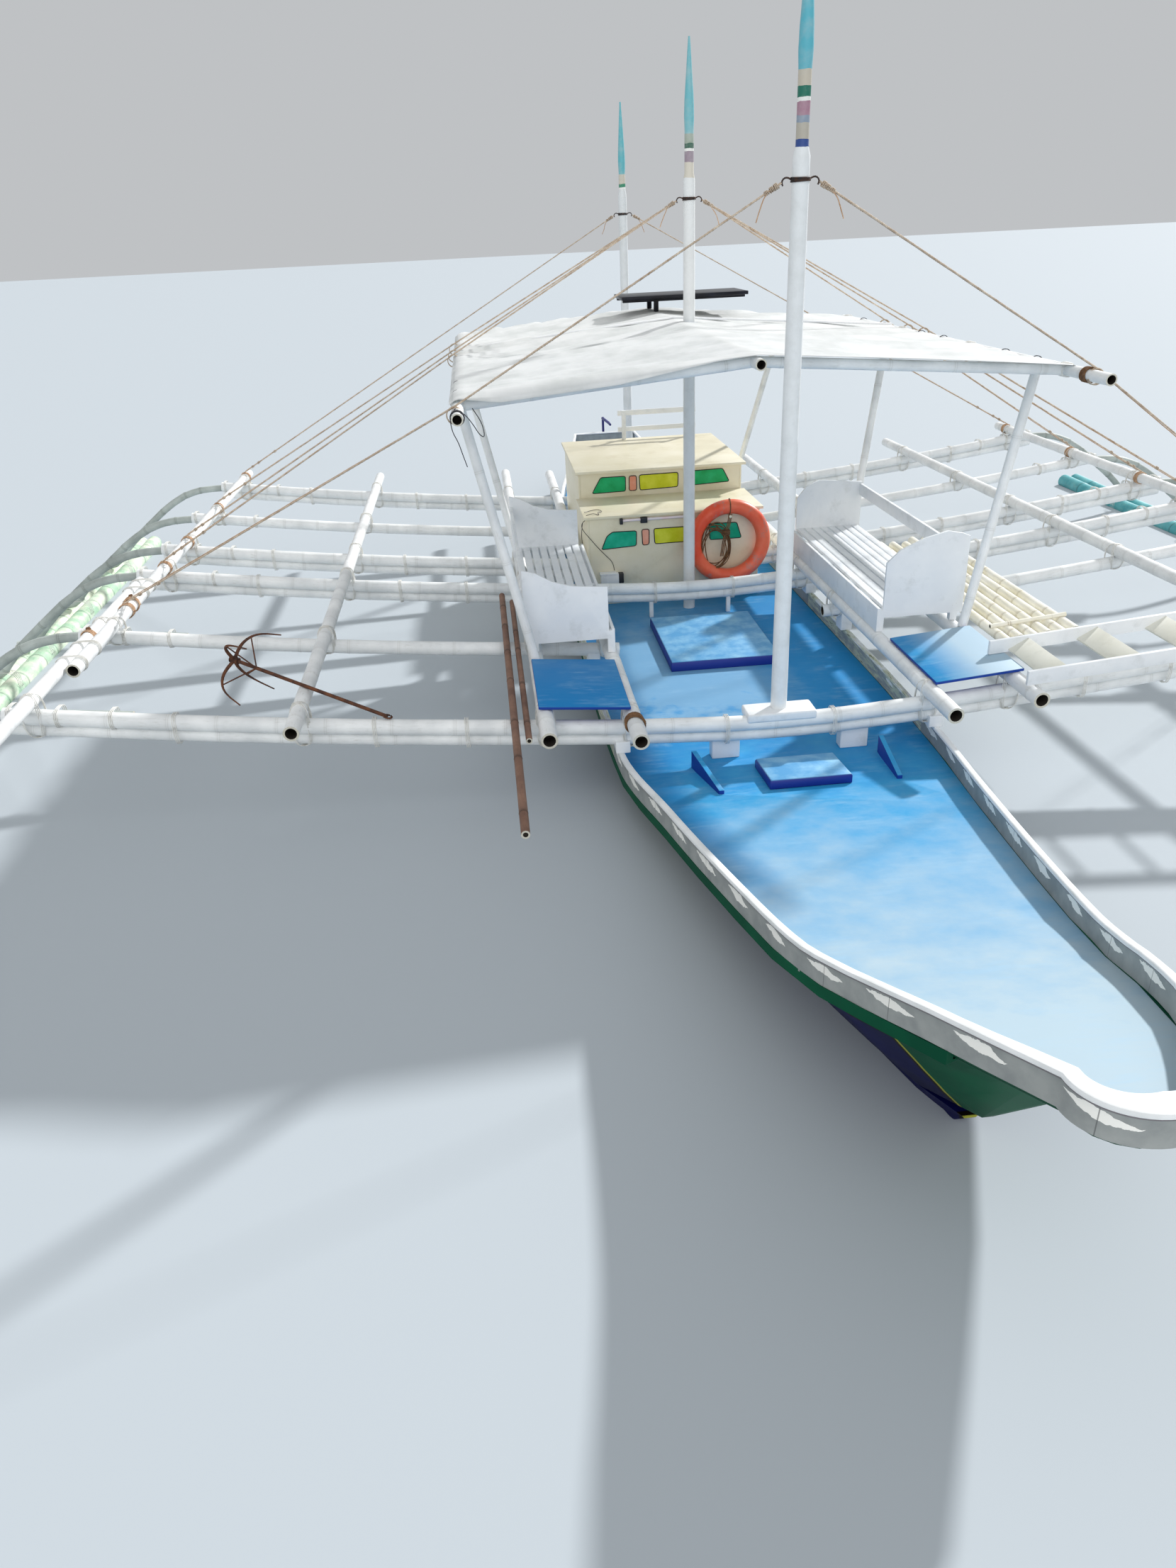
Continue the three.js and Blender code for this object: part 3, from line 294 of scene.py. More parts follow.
# Hatch lids: worn blotches on the tops, painted pale as sunlit glare; sides painted deep blue as shade.
def hatchEnamelFinish(top, side):
    finish, add = newFinish("worn_blue_hatch_enamel_with_painted_light")
    place = objectPlace(add)
    # Painted light: pale tops as if sunlit over worn blotches, deep sides as if shaded.
    wornGlareTop = add("mix", blotches(add, place, 160, 0.4, 0.66, 7, 0.65), *top)
    colour = add("mix", add("range", facingUp(add), 0.6, 0.9), side, wornGlareTop)
    brush = add("noise", objectPlace(add, (8, 1, 1)), sizeMm(70), 5)
    return closeFinish(finish, add, colour, 0.5, brush, 0.2)


hatchEnamel = hatchEnamelFinish(("#549fd3", "#8cc3e4"), "#0a2a8c")


# Enamel on the planked hull: green over navy, parted by a painted line whose dark lower edge is
# painted shadow, as cast under a batten.
hullLook = {
    "green": ("#004a32", "#00583a"), "navy": ("#0a0f40", "#101552"), "line": "#9c9c3a", "edge": "#16100e",
    "weed": "#1c2a1c", "lineWide": 0.018, "underLineShadowWide": 0.024, "plank": 165,
    # Course of the line: y, height. At the bow it drops to the stem's foot, leaning as it rises.
    "footY": -2.985, "footZ": 0.09, "lean": 0.18,
    "course": [
        (-3.3, 0.76), (-3.1, 0.65), (-2.8, 0.53), (-2.6, 0.47), (-2.4, 0.42), (-2.0, 0.35), (-1.5, 0.275),
        (-1.0, 0.215), (0.0, 0.112), (1.2, 0.102), (5.7, 0.102), (6.4, 0.12), (7.4, 0.175), (8.5, 0.285),
        (9.6, 0.445),
    ],
}


def hullEnamelFinish(name, look):
    finish, add = newFinish(name)
    place = objectPlace(add)
    mottle = blotches(add, place, 500, 0.38, 0.64, 5)
    green = add("mix", mottle, *look["green"])
    navy = add("mix", mottle, *look["navy"])
    parts = add("split", place).outputs
    weed = blotches(add, place, 120, 0.4, 0.6, 7)
    weed = add("MULTIPLY", add("range", parts[2], 0.02, -0.15), weed)
    navy = laidOver(add, navy, look["weed"], weed, 0.6)
    wander = add("MULTIPLY", add("SUBTRACT", add("noise", place, sizeMm(300), 3), 0.5), 0.012)
    height = add("ADD", parts[2], wander)
    above = add("SUBTRACT", height, lineOf(add, parts[1], look["course"]))
    leaning = add("MULTIPLY", add("SUBTRACT", height, look["footZ"]), -look["lean"])
    ahead = add("SUBTRACT", add("ADD", leaning, look["footY"]), parts[1])
    above = add("MAXIMUM", above, ahead)
    colour = navy
    # Under the line, a dark band of painted shadow.
    for level, paint in ((-look["underLineShadowWide"], look["edge"]), (0.0, look["line"]), (look["lineWide"], green)):
        colour = add("mix", add("GREATER_THAN", above, level), colour, paint)
    planks = {"Vector": objectPlace(add, (0, 0, 1)), "Scale": bandsMm(look["plank"]), "Distortion": 0.0}
    seams = add("ShaderNodeTexWave", planks, bands_direction="Z").outputs[1]
    seam = add("range", seams, 0.0, 0.04)
    grain = add("MULTIPLY", add("noise", objectPlace(add, (1, 0.2, 1)), sizeMm(60), 5), 0.5)
    height = add("ADD", seam, grain)
    return closeFinish(finish, add, colour, 0.5, height, 0.3, 0.003, {"Specular IOR Level": 0.06})


greenHullEnamel = hullEnamelFinish("green_and_navy_enamel_on_planking", hullLook)
navyHullEnamel = hullEnamelFinish("navy_enamel_on_bottom_planking", hullLook)
rudderEnamel = enamel("navy_enamel_on_rudder", {
    "base": "#1b2064", "bleached": "#2a2f7c", "grime": "#141848", "chip": "#6a6a7c",
})


# Paint over bamboo: thick on the knots, worn to the grey-brown skin beside them, with long
# fibres showing through. The attributes along and knot come with the pole's mesh.
def bambooFinish(name, look):
    finish, add = newFinish(name)
    around, along, own, knot = marksOf(add, "around", "along", "pole", "knot")
    laid = [add("MULTIPLY", mark, share) for mark, share in ((around, 0.3), (along, 0.16), (own, 9.0))]
    laid = add("ShaderNodeCombineXYZ", *laid)
    fibres = add("noise", laid, sizeMm(12), 6, 0.6)
    place = objectPlace(add)
    patches = add("noise", place, sizeMm(look.get("patch", 240)), 5)
    colour = add("mix", add("range", patches, 0.36, 0.66), look["base"], look["light"])
    wear = blotches(add, place, 90, 0.4, 0.7, 6, 0.7)
    wear = add("MULTIPLY", add("range", fibres, 0.52, 0.72), wear)
    colour = laidOver(add, colour, look["skin"], wear, look.get("wear", 0.7))
    groove = add("MULTIPLY", add("range", knot, 0.44, 0.6), add("range", knot, 0.98, 0.78))
    colour = laidOver(add, colour, look["knot"], groove, look.get("groove", 0.75))
    height = add("ADD", add("MULTIPLY", fibres, 0.7), add("MULTIPLY", patches, 0.3))
    return closeFinish(finish, add, colour, look.get("rough", 0.5), height, 0.3)


whiteBamboo = bambooFinish("white_paint_on_bamboo", {
    "base": "#e2e4e4", "light": "#f7f8f7", "skin": "#b4b2aa", "knot": "#a8a69e", "groove": 0.22,
    "wear": 0.6,
})
greyBamboo = bambooFinish("weathered_grey_bamboo", {
    "base": "#979f9a", "light": "#bcc4bf", "skin": "#6c726e", "knot": "#62685f", "rough": 0.62,
    "groove": 0.4,
})
creamBamboo = bambooFinish("bare_cream_bamboo", {
    "base": "#ece6d0", "light": "#f9f6ea", "skin": "#c8b48a", "knot": "#9c8a68", "wear": 0.6, "rough": 0.42,
    "groove": 0.5,
})
tealBamboo = bambooFinish("teal_paint_on_bamboo", {
    "base": "#3f9ea6", "light": "#6fc0c4", "skin": "#9fb8a8", "knot": "#2c5c5e", "wear": 0.9,
})
mottledBamboo = bambooFinish("pale_green_paint_on_bamboo", {
    "base": "#a9cfae", "light": "#eef1dc", "skin": "#6c957c", "knot": "#5c7c68", "wear": 0.9, "patch": 150,
})
brownPole = bambooFinish("bare_brown_pole_wood", {
    "base": "#6e4f40", "light": "#94705c", "skin": "#3c2a22", "knot": "#2c2019", "wear": 0.9, "rough": 0.7,
})


# Bamboo with no paint: its dark hollow and its sawn ends.
def rawFinish(name, dark, light, size, detail, roughness):
    finish, add = newFinish(name)
    colour = add("mix", add("noise", objectPlace(add), sizeMm(size), detail), dark, light)
    shader = {"Base Color": colour, "Roughness": roughness}
    add("ShaderNodeOutputMaterial", add("ShaderNodeBsdfPrincipled", shader))
    return finish


bambooBore = rawFinish("dark_hollow_bamboo_bore", "#1b1713", "#3c342a", 14, 5, 0.9)
sawnEnd = rawFinish("sawn_bamboo_end", "#b9b4a4", "#e2dfd2", 8, 6, 0.8)


# Laid rope: three strands that the mesh has, fibres and dirt from noise.
def ropeFinish(name, light, dark, rough=0.85):
    finish, add = newFinish(name)
    place = objectPlace(add)
    colour = add("mix", blotches(add, place, 45, 0.35, 0.68, 6, 0.7), light, dark)
    fibres = add("noise", place, sizeMm(2.5), 3)
    return closeFinish(finish, add, colour, rough, fibres, 0.5, 0.0008, more={"Sheen Weight": 0.15})


paleRope = ropeFinish("weathered_nylon_rope", "#ddcdb8", "#a88e74")
tanRope = ropeFinish("tan_polypropylene_rope", "#d8b594", "#a67c58")
darkRope = ropeFinish("dark_tarred_twine", "#3a3a42", "#1c1c22")
brownRope = ropeFinish("brown_manila_rope", "#8a6038", "#523820")
lashingTwine = ropeFinish("clear_nylon_lashing", "#f0efeb", "#cfcdc4", 0.5)


# Woven coated sheet: crossing tapes 3 mm wide, drawn by waves on the sheet's own attributes.
def tarpFinish():
    finish, add = newFinish("white_woven_tarpaulin")
    laid = add("ShaderNodeCombineXYZ", *marksOf(add, "across", "along"))
    tapes = {"Vector": laid, "Scale": bandsMm(3), "Distortion": 0.0}
    waves = [add("ShaderNodeTexWave", tapes, bands_direction=way).outputs[1] for way in ("X", "Y")]
    weave = add("MAXIMUM", *waves)
    stains = add("noise", laid, sizeMm(380), 6, 0.62)
    colour = add("mix", add("range", stains, 0.42, 0.7), "#f4f5f4", "#dde0de")
    bump = add("ShaderNodeBump", {"Strength": 0.25, "Distance": 0.0006, "Height": weave})
    cloth = {"Base Color": colour, "Roughness": 0.55, "Normal": bump}
    cloth = add("ShaderNodeBsdfPrincipled", cloth)
    glow = add("ShaderNodeBsdfTranslucent", {"Color": colour})
    add("ShaderNodeOutputMaterial", add("ShaderNodeMixShader", 0.25, cloth, glow))
    return finish


tarpaulin = tarpFinish()


# Rail enamel: white on the cap, the faces painted grey as shade and stained, a darker band under the
# cap as painted shade, a patch of fresh paint over each fastening. Attributes: along the rail and
# drop below its top, both in metres.
railLook = {
    "cap": ("#f8f9f9", "#e2e5e4"), "side": ("#8f9392", "#a5a8a5"), "fresh": "#fffdf6", "joint": "#5c5e5e",
    "groove": "#7c777a", "capDepth": 0.018, "underCapShadeDepth": 0.027, "pitch": 0.41, "jointHalf": 0.002,
    "patchHalf": 0.14, "patchDrop": 0.052, "patchLean": 0.013, "patchTall": 0.021,
    "bare": ("#d2d5b8", "#444a34"), "bareFrom": 0.2, "bareTo": 2.9, "freshTo": 4.6, "rare": 0.3,
}


def railEnamelFinish(look):
    finish, add = newFinish("white_enamel_on_rail_plank")
    along, drop = marksOf(add, "along", "drop")
    place = objectPlace(add)
    cap = add("mix", blotches(add, place, 180, 0.4, 0.7, 6), *look["cap"])
    # Painted shade: the faces are grey against the white cap.
    side = add("mix", blotches(add, place, 110, 0.35, 0.65, 6), *look["side"])
    laid = add("ShaderNodeCombineXYZ", along, drop)
    beat = add("DIVIDE", along, look["pitch"])
    luck = add("ShaderNodeTexWhiteNoise", {"W": add("FLOOR", beat)}, noise_dimensions="1D")
    off = add("MULTIPLY", add("SUBTRACT", add("FRACT", beat), 0.5), look["pitch"])
    half = add("range", luck, 0.0, 1.0, look["patchHalf"] * 0.7, look["patchHalf"])
    share = add("DIVIDE", off, half)
    middle = add("ADD", look["patchDrop"], add("MULTIPLY", share, -look["patchLean"]))
    ragged = add("MULTIPLY", add("SUBTRACT", add("noise", laid, sizeMm(70), 4), 0.5), 0.05)
    miss = add("ABSOLUTE", add("SUBTRACT", add("ADD", drop, ragged), middle))
    tall = add("SUBTRACT", 1.0, add("POWER", add("ABSOLUTE", share), 1.6))
    patch = add("LESS_THAN", miss, add("MULTIPLY", tall, look["patchTall"]))
    patch = add("MULTIPLY", patch, add("GREATER_THAN", drop, look["underCapShadeDepth"]))
    # Past the first beam only a few fastenings were touched up.
    kept = add("MAXIMUM", add("LESS_THAN", along, look["freshTo"]), add("LESS_THAN", luck, look["rare"]))
    patch = add("MULTIPLY", patch, kept)
    side = add("mix", patch, side, look["fresh"])
    joint = add("LESS_THAN", add("ABSOLUTE", off), look["jointHalf"])
    joint = add("MULTIPLY", joint, add("GREATER_THAN", luck, 0.55))
    side = laidOver(add, side, look["joint"], joint, 0.7)
    # Painted shade: a darker band in the recess under the cap.
    side = add("mix", add("LESS_THAN", drop, look["underCapShadeDepth"]), side, look["groove"])
    colour = add("mix", add("LESS_THAN", drop, look["capDepth"]), side, cap)
    # Amidships, under the benches, the paint has gone from long streaks of the plank.
    aft = add("split", place).outputs[1]
    amid = add("GREATER_THAN", aft, look["bareFrom"])
    amid = add("MULTIPLY", amid, add("LESS_THAN", aft, look["bareTo"]))
    streaks = add("noise", objectPlace(add, (1, 0.12, 1)), sizeMm(26), 6, 0.7)
    bare = add("mix", add("range", streaks, 0.58, 0.68), *look["bare"])
    colour = add("mix", add("MULTIPLY", amid, add("range", streaks, 0.44, 0.56)), colour, bare)
    return closeFinish(finish, add, colour, 0.5, add("noise", laid, sizeMm(40), 6, 0.6), 0.3, 0.003)


railEnamel = railEnamelFinish(railLook)


# A mast's paint: bands of colour up its head, on an enamel that has chalked.
def mastFinish(name, bands):
    finish, add = newFinish(name)
    place = objectPlace(add)
    wobble = add("MULTIPLY", add("noise", place, sizeMm(60), 3), 0.016)
    height = add("ADD", add("split", place).outputs[2], wobble)
    colour = bands[0][1]
    for level, code in bands[1:]:
        colour = add("mix", add("GREATER_THAN", height, level), colour, code)
    fade = blotches(add, place, 120, 0.45, 0.7, 6, 0.65)
    colour = laidOver(add, colour, "#c9cbc8", fade, 0.35)
    streaks = add("noise", objectPlace(add, (1, 1, 0.1)), sizeMm(24), 6)
    return closeFinish(finish, add, colour, 0.45, streaks, 0.25)


mastPaints = {
    "mast_front": mastFinish("banded_enamel_front_mast", [
        (0, "#eceeee"), (3.615, "#2b4a8c"), (3.648, "#b9b2a4"), (3.72, "#8494a8"), (3.75, "#a8788c"),
        (3.808, "#f0efea"), (3.826, "#17705c"), (3.872, "#c8bfae"), (3.94, "#5ab4c4"),
    ]),
    "mast_middle": mastFinish("banded_enamel_middle_mast", [
        (0, "#e6e8e8"), (3.60, "#d6d0c2"), (3.70, "#9c8c98"), (3.772, "#f0efea"), (3.79, "#1c5a44"),
        (3.822, "#9aa898"), (3.885, "#6fb8c2"),
    ]),
    "mast_aft": mastFinish("banded_enamel_aft_mast", [
        (0, "#e2e5e6"), (3.64, "#f0efea"), (3.658, "#3c8c6c"), (3.69, "#cfc8b8"), (3.78, "#64b6c0"),
    ]),
}


# Moulded shell of the ring: orange skin bleached and scraped grey in patches.
def ringFinish():
    finish, add = newFinish("orange_moulded_polyethylene")
    place = objectPlace(add)
    colour = add("mix", blotches(add, place, 260, 0.4, 0.65, 4), "#f25430", "#f87a58")
    scraped = blotches(add, place, 150, 0.56, 0.66, 5, 0.6)
    scraped = add("MULTIPLY", scraped, blotches(add, place, 18, 0.38, 0.6, 6, 0.7))
    colour = laidOver(add, colour, "#b08c86", scraped, 0.8)
    pitted = add("noise", place, sizeMm(6), 4)
    return closeFinish(finish, add, colour, 0.42, pitted, 0.15, 0.001)


ringShell = ringFinish()


# Painted panes: a gloss colour, paler in patches, with fine brush marks.
def paneFinish(name, tone, light):
    finish, add = newFinish(name)
    place = objectPlace(add)
    colour = add("mix", blotches(add, place, 140, 0.38, 0.66, 4), tone, light)
    brush = add("noise", objectPlace(add, (1, 1, 8)), sizeMm(30), 4)
    return closeFinish(finish, add, colour, 0.3, brush, 0.1, 0.001, {"Specular IOR Level": 0.25})


panePaints = {
    "green": paneFinish("green_gloss_pane", "#0ca35c", "#1fbc78"),
    "teal": paneFinish("teal_gloss_pane", "#12ab84", "#34c4a0"),
    "yellow": paneFinish("yellow_gloss_pane", "#cfd61c", "#e6ea48"),
    "pink": paneFinish("pink_gloss_pane", "#ee9a7c", "#f6b8a0"),
}
lampTube = paneFinish("frosted_white_lamp_tube", "#f4eef0", "#f7dfe0")
darkGlass = paneFinish("dark_glazed_panel", "#0c0d14", "#191c28")


# Metals: rusted iron, cast bronze and the dull steel of rings and hooks.
def metalFinish(name, tone, other, metallic, rough, size, bumpy):
    finish, add = newFinish(name)
    place = objectPlace(add)
    blotch = add("noise", place, sizeMm(size), 7, 0.68)
    colour = add("mix", add("range", blotch, 0.4, 0.62), tone, other)
    gloss = add("range", blotch, 0.3, 0.7, rough, rough + 0.25)
    pitted = add("noise", place, sizeMm(size / 6), 5, 0.7)
    return closeFinish(finish, add, colour, gloss, pitted, bumpy, more={"Metallic": metallic})


rustedIron = metalFinish("rusted_wrought_iron", "#4a3026", "#7c4e34", 0.2, 0.65, 40, 0.6)
castBronze = metalFinish("dull_cast_bronze", "#8a6c3c", "#6c7c5c", 0.9, 0.4, 50, 0.3)
hookIron = metalFinish("dark_iron_strap", "#3c3a3c", "#5c4438", 0.6, 0.5, 30, 0.4)
print("finishes made:", len(bpy.data.materials))


# Starts a tree of Geometry Nodes with named inputs: floats, and whole numbers for counts.
def newTree(name, inputs):
    tree = bpy.data.node_groups.new(name, "GeometryNodeTree")
    for way in ("INPUT", "OUTPUT"):
        tree.interface.new_socket("Geometry", in_out=way, socket_type="NodeSocketGeometry")
    for label, value in inputs.items():
        kind = "NodeSocketInt" if isinstance(value, int) else "NodeSocketFloat"
        tree.interface.new_socket(label, in_out="INPUT", socket_type=kind).default_value = value
    add = partial(addNode, tree)
    return tree, add, add("NodeGroupInput").outputs


# Makes the carrier mesh a path with even steps, and reads its thickness.
def pathOf(add, carrier, step):
    path = add("GeometryNodeMeshToCurve", carrier)
    path = add("GeometryNodeResampleCurve", {"Curve": path, "Length": step}, mode="LENGTH")
    return path, add("GeometryNodeInputNamedAttribute", {"Name": "thickness"}, data_type="FLOAT")


def sweptAlong(add, path, circle):
    radius = add("GeometryNodeInputRadius")
    profile = {"Curve": path, "Profile Curve": circle, "Fill Caps": True, "Scale": radius}
    return add("GeometryNodeCurveToMesh", profile)


def storeMark(add, geometry, label, value):
    stored = {"Geometry": geometry, "Name": label, "Value": value}
    return add("GeometryNodeStoreNamedAttribute", stored, data_type="FLOAT", domain="POINT")


# A pole of bamboo grown along every path that the carrier mesh holds.
def bambooTree(finish):
    tree, add, given = newTree("bamboo_pole", {
        "Internode": 0.3, "Knot height": 0.05, "Bore share": 0.72, "Bore depth": 0.09, "Sides": 16,
        "Seed": 1,
    })
    # Steps from knot to knot, half a ridge's length, how deep the pole slims between knots as a
    # share of its radius, and how far knots stray as a share of the step from one to the next.
    stepsPerKnot, ridgeHalf, waistDepth, knotStray = 6, 0.009, 0.015, 0.2
    step = add("DIVIDE", given["Internode"], stepsPerKnot)
    path, thick = pathOf(add, given["Geometry"], step)
    spline = add("GeometryNodeSplineParameter").outputs
    beat = add("MODULO", add("ADD", spline["Index"], 3), stepsPerKnot)
    knotCount = add("FLOOR", add("DIVIDE", add("ADD", spline["Index"], 4), stepsPerKnot))
    index = add("GeometryNodeInputIndex")
    which = add("GeometryNodeFieldOnDomain", index, domain="CURVE", data_type="INT")
    inner = add("SUBTRACT", 1, add("GeometryNodeCurveEndpointSelection", {"Start Size": 2, "End Size": 2}))
    onKnot, before, after = [add("COMPARE", beat, target, 0.1) for target in (0, stepsPerKnot - 1, 1)]
    nearKnot = add("MINIMUM", add("ADD", add("ADD", onKnot, before), after), inner)
    # Each knot strays along its pole, and its two neighbours are drawn close to it.
    key = add("ADD", add("MULTIPLY", which, 131), knotCount)
    chance = {2: -knotStray, 3: knotStray, "ID": key, "Seed": given["Seed"]}
    stray = add("MULTIPLY", add("FunctionNodeRandomValue", chance, data_type="FLOAT"), given["Internode"])
    pull = add("MULTIPLY", add("SUBTRACT", before, after), add("SUBTRACT", step, ridgeHalf))
    slide = add("MULTIPLY", add("ADD", stray, pull), nearKnot)
    along = {0: add("GeometryNodeInputTangent"), "Scale": slide}
    offset = add("ShaderNodeVectorMath", along, operation="SCALE")
    ridge = add("MULTIPLY", add("MULTIPLY", onKnot, inner), given["Knot height"])
    waist = add("MULTIPLY", add("SUBTRACT", 1, nearKnot), -waistDepth)
    swell = add("ADD", 1, add("ADD", ridge, waist))
    path = add("GeometryNodeSetPosition", {"Geometry": path, "Offset": offset})
    path = add("GeometryNodeSetCurveRadius", {"Curve": path, "Radius": add("MULTIPLY", thick, swell)})
    level = add("MULTIPLY", add("ADD", add("MULTIPLY", nearKnot, 0.5), add("MULTIPLY", onKnot, 0.5)), inner)
    own = add("FRACT", add("MULTIPLY", which, 0.377))
    for label, value in (("along", spline["Length"]), ("knot", level), ("pole", own)):
        path = storeMark(add, path, label, value)
    circle = add("GeometryNodeCurvePrimitiveCircle", {"Resolution": given["Sides"], "Radius": 1.0})
    turn = add("ABSOLUTE", add("SUBTRACT", add("GeometryNodeSplineParameter").outputs["Factor"], 0.5))
    circle = storeMark(add, circle, "around", turn)
    body = add("GeometryNodeSetMaterial", {"Geometry": sweptAlong(add, path, circle), "Material": finish})
    # The caps are its only faces with many corners: sawn rings round a dark hollow.
    corners = add("GeometryNodeInputMeshFaceNeighbors").outputs["Vertex Count"]
    caps = add("FunctionNodeCompare", {2: corners, 3: 5}, data_type="INT", operation="GREATER_THAN")
    body = add("GeometryNodeSetMaterial", {"Geometry": body, "Selection": caps, "Material": sawnEnd})
    lip = {"Mesh": body, "Selection": caps, "Offset Scale": 0.0, "Individual": True}
    lip = add("GeometryNodeExtrudeMesh", lip, mode="FACES").outputs
    ring = {"Geometry": lip["Mesh"], "Selection": lip["Top"], "Scale": given["Bore share"]}
    bore = add("GeometryNodeExtrudeMesh", {
        "Mesh": add("GeometryNodeScaleElements", ring, domain="FACE"), "Selection": lip["Top"],
        "Offset": add("GeometryNodeInputNormal"), "Offset Scale": add("MULTIPLY", given["Bore depth"], -1),
        "Individual": True,
    }, mode="FACES").outputs
    inside = add("FunctionNodeBooleanMath", bore["Top"], bore["Side"], operation="OR")
    hollow = {"Geometry": bore["Mesh"], "Selection": inside, "Material": bambooBore}
    body = add("GeometryNodeSetMaterial", hollow)
    keen = add("GREATER_THAN", add("GeometryNodeInputMeshEdgeAngle"), 0.8)
    body = add("GeometryNodeSetShadeSmooth", {0: body, "Shade Smooth": True}, domain="FACE")
    body = add("GeometryNodeSetShadeSmooth", {0: body, 1: keen, "Shade Smooth": False}, domain="EDGE")
    add("NodeGroupOutput", add("GeometryNodeRealizeInstances", body))
    return tree


# A laid rope, wire or plain bar swept along every path that the carrier mesh holds.
def ropeTree(finish):
    tree, add, given = newTree("laid_rope", {"Step": 0.02, "Strand depth": 0.18, "Lay": 0.06, "Sides": 9})
    path, thick = pathOf(add, given["Geometry"], given["Step"])
    path = add("GeometryNodeSetCurveRadius", {"Curve": path, "Radius": thick})
    reach = add("GeometryNodeSplineParameter").outputs["Length"]
    twist = add("MULTIPLY", add("DIVIDE", reach, given["Lay"]), 2 * math.pi)
    path = add("GeometryNodeSetCurveTilt", {"Curve": path, "Tilt": twist})
    # Three strands show as three lobes of the section.
    circle = add("GeometryNodeCurvePrimitiveCircle", {"Resolution": given["Sides"], "Radius": 1.0})
    turn = add("MULTIPLY", add("GeometryNodeInputIndex"), 2 * math.pi * 3)
    lobe = add("MULTIPLY", add("COSINE", add("DIVIDE", turn, given["Sides"])), given["Strand depth"])
    size = add("ADD", add("SUBTRACT", 1, given["Strand depth"]), lobe)
    lobed = {0: add("GeometryNodeInputPosition"), "Scale": size}
    lobed = add("ShaderNodeVectorMath", lobed, operation="SCALE")
    circle = add("GeometryNodeSetPosition", {"Geometry": circle, "Position": lobed})
    body = {0: sweptAlong(add, path, circle), "Shade Smooth": True}
    body = add("GeometryNodeRealizeInstances", add("GeometryNodeSetShadeSmooth", body, domain="FACE"))
    add("NodeGroupOutput", add("GeometryNodeSetMaterial", {"Geometry": body, "Material": finish}))
    return tree


def placed(mesh, name):
    piece = bpy.data.objects.new(name, mesh)
    bpy.context.collection.objects.link(piece)
    return piece


def bakedMesh(piece, name):
    graph = bpy.context.evaluated_depsgraph_get()
    mesh = bpy.data.meshes.new_from_object(piece.evaluated_get(graph))
    mesh.name = name
    return mesh


treesMade = {}


# Runs a tree over paths. Each run is (points, radius or radii), with True after them if closed.
def sweep(name, runs, builder, finish, settings):
    mesh = bpy.data.meshes.new(name)
    points, edges, sizes = [], [], []
    for path, radius, *closed in runs:
        first = len(points)
        points += [tuple(p) for p in path]
        edges += [(first + i, first + i + 1) for i in range(len(path) - 1)]
        if closed:
            edges.append((first + len(path) - 1, first))
        sizes += list(radius) if hasattr(radius, "__len__") else [radius] * len(path)
    mesh.from_pydata(points, edges, [])
    mesh.attributes.new("thickness", "FLOAT", "POINT").data.foreach_set("value", sizes)
    carrier = placed(mesh, name + ".carrier")
    key = (builder.__name__, finish.name)
    if key not in treesMade:
        treesMade[key] = builder(finish)
    modifier = carrier.modifiers.new("sweep", "NODES")
    modifier.node_group = treesMade[key]
    for item in treesMade[key].interface.items_tree:
        if item.in_out == "INPUT" and item.name in settings:
            modifier[item.identifier] = settings[item.name]
    made = bakedMesh(carrier, name)
    bpy.data.objects.remove(carrier)
    return placed(made, name)


def bamboo(name, runs, finish, growth, seed=1):
    return sweep(name, runs, bambooTree, finish, {**growth, "Seed": seed})


def rope(name, runs, finish, settings):
    return sweep(name, runs, ropeTree, finish, settings)


def settle(piece, nodes=(), body="boat"):
    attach(piece, body)
    if nodes:
        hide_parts(*nodes)


# Turns a bmesh into a piece. Given an angle in degrees, its shading is smooth up to it.
def pieceFrom(work, name, finishes, angle=None):
    mesh = bpy.data.meshes.new(name)
    work.to_mesh(mesh)
    work.free()
    for finish in finishes:
        mesh.materials.append(finish)
    piece = placed(mesh, name)
    if angle:
        smoothen(piece, angle)
    return piece


def smoothen(piece, angle):
    for polygon in piece.data.polygons:
        polygon.use_smooth = True
    piece.data.set_sharp_from_angle(angle=math.radians(angle))


def evenAngles(count):
    return [2 * math.pi * k / count for k in range(count)]


# Faces between closed rings of points. Closed joins the last ring to the first one.
def skin(work, rings, closed=False, flip=False):
    for low, high in zip(rings, rings[1:] + rings[:closed]):
        for j in range(len(low)):
            k = (j + 1) % len(low)
            corners = (low[k], high[k], high[j])
            work.faces.new((low[j], *(reversed(corners) if flip else corners)))


def joinPieces(name, parts):
    whole = bmesh.new()
    finishes = []
    for part in parts:
        finishes += [finish for finish in part.data.materials if finish not in finishes]
    for part in parts:
        slots = [finishes.index(finish) for finish in part.data.materials]
        before = len(whole.faces)
        whole.from_mesh(part.data)
        whole.faces.ensure_lookup_table()
        for face in whole.faces[before:]:
            face.material_index = slots[min(face.material_index, len(slots) - 1)]
        bpy.data.objects.remove(part)
    return pieceFrom(whole, name, finishes)


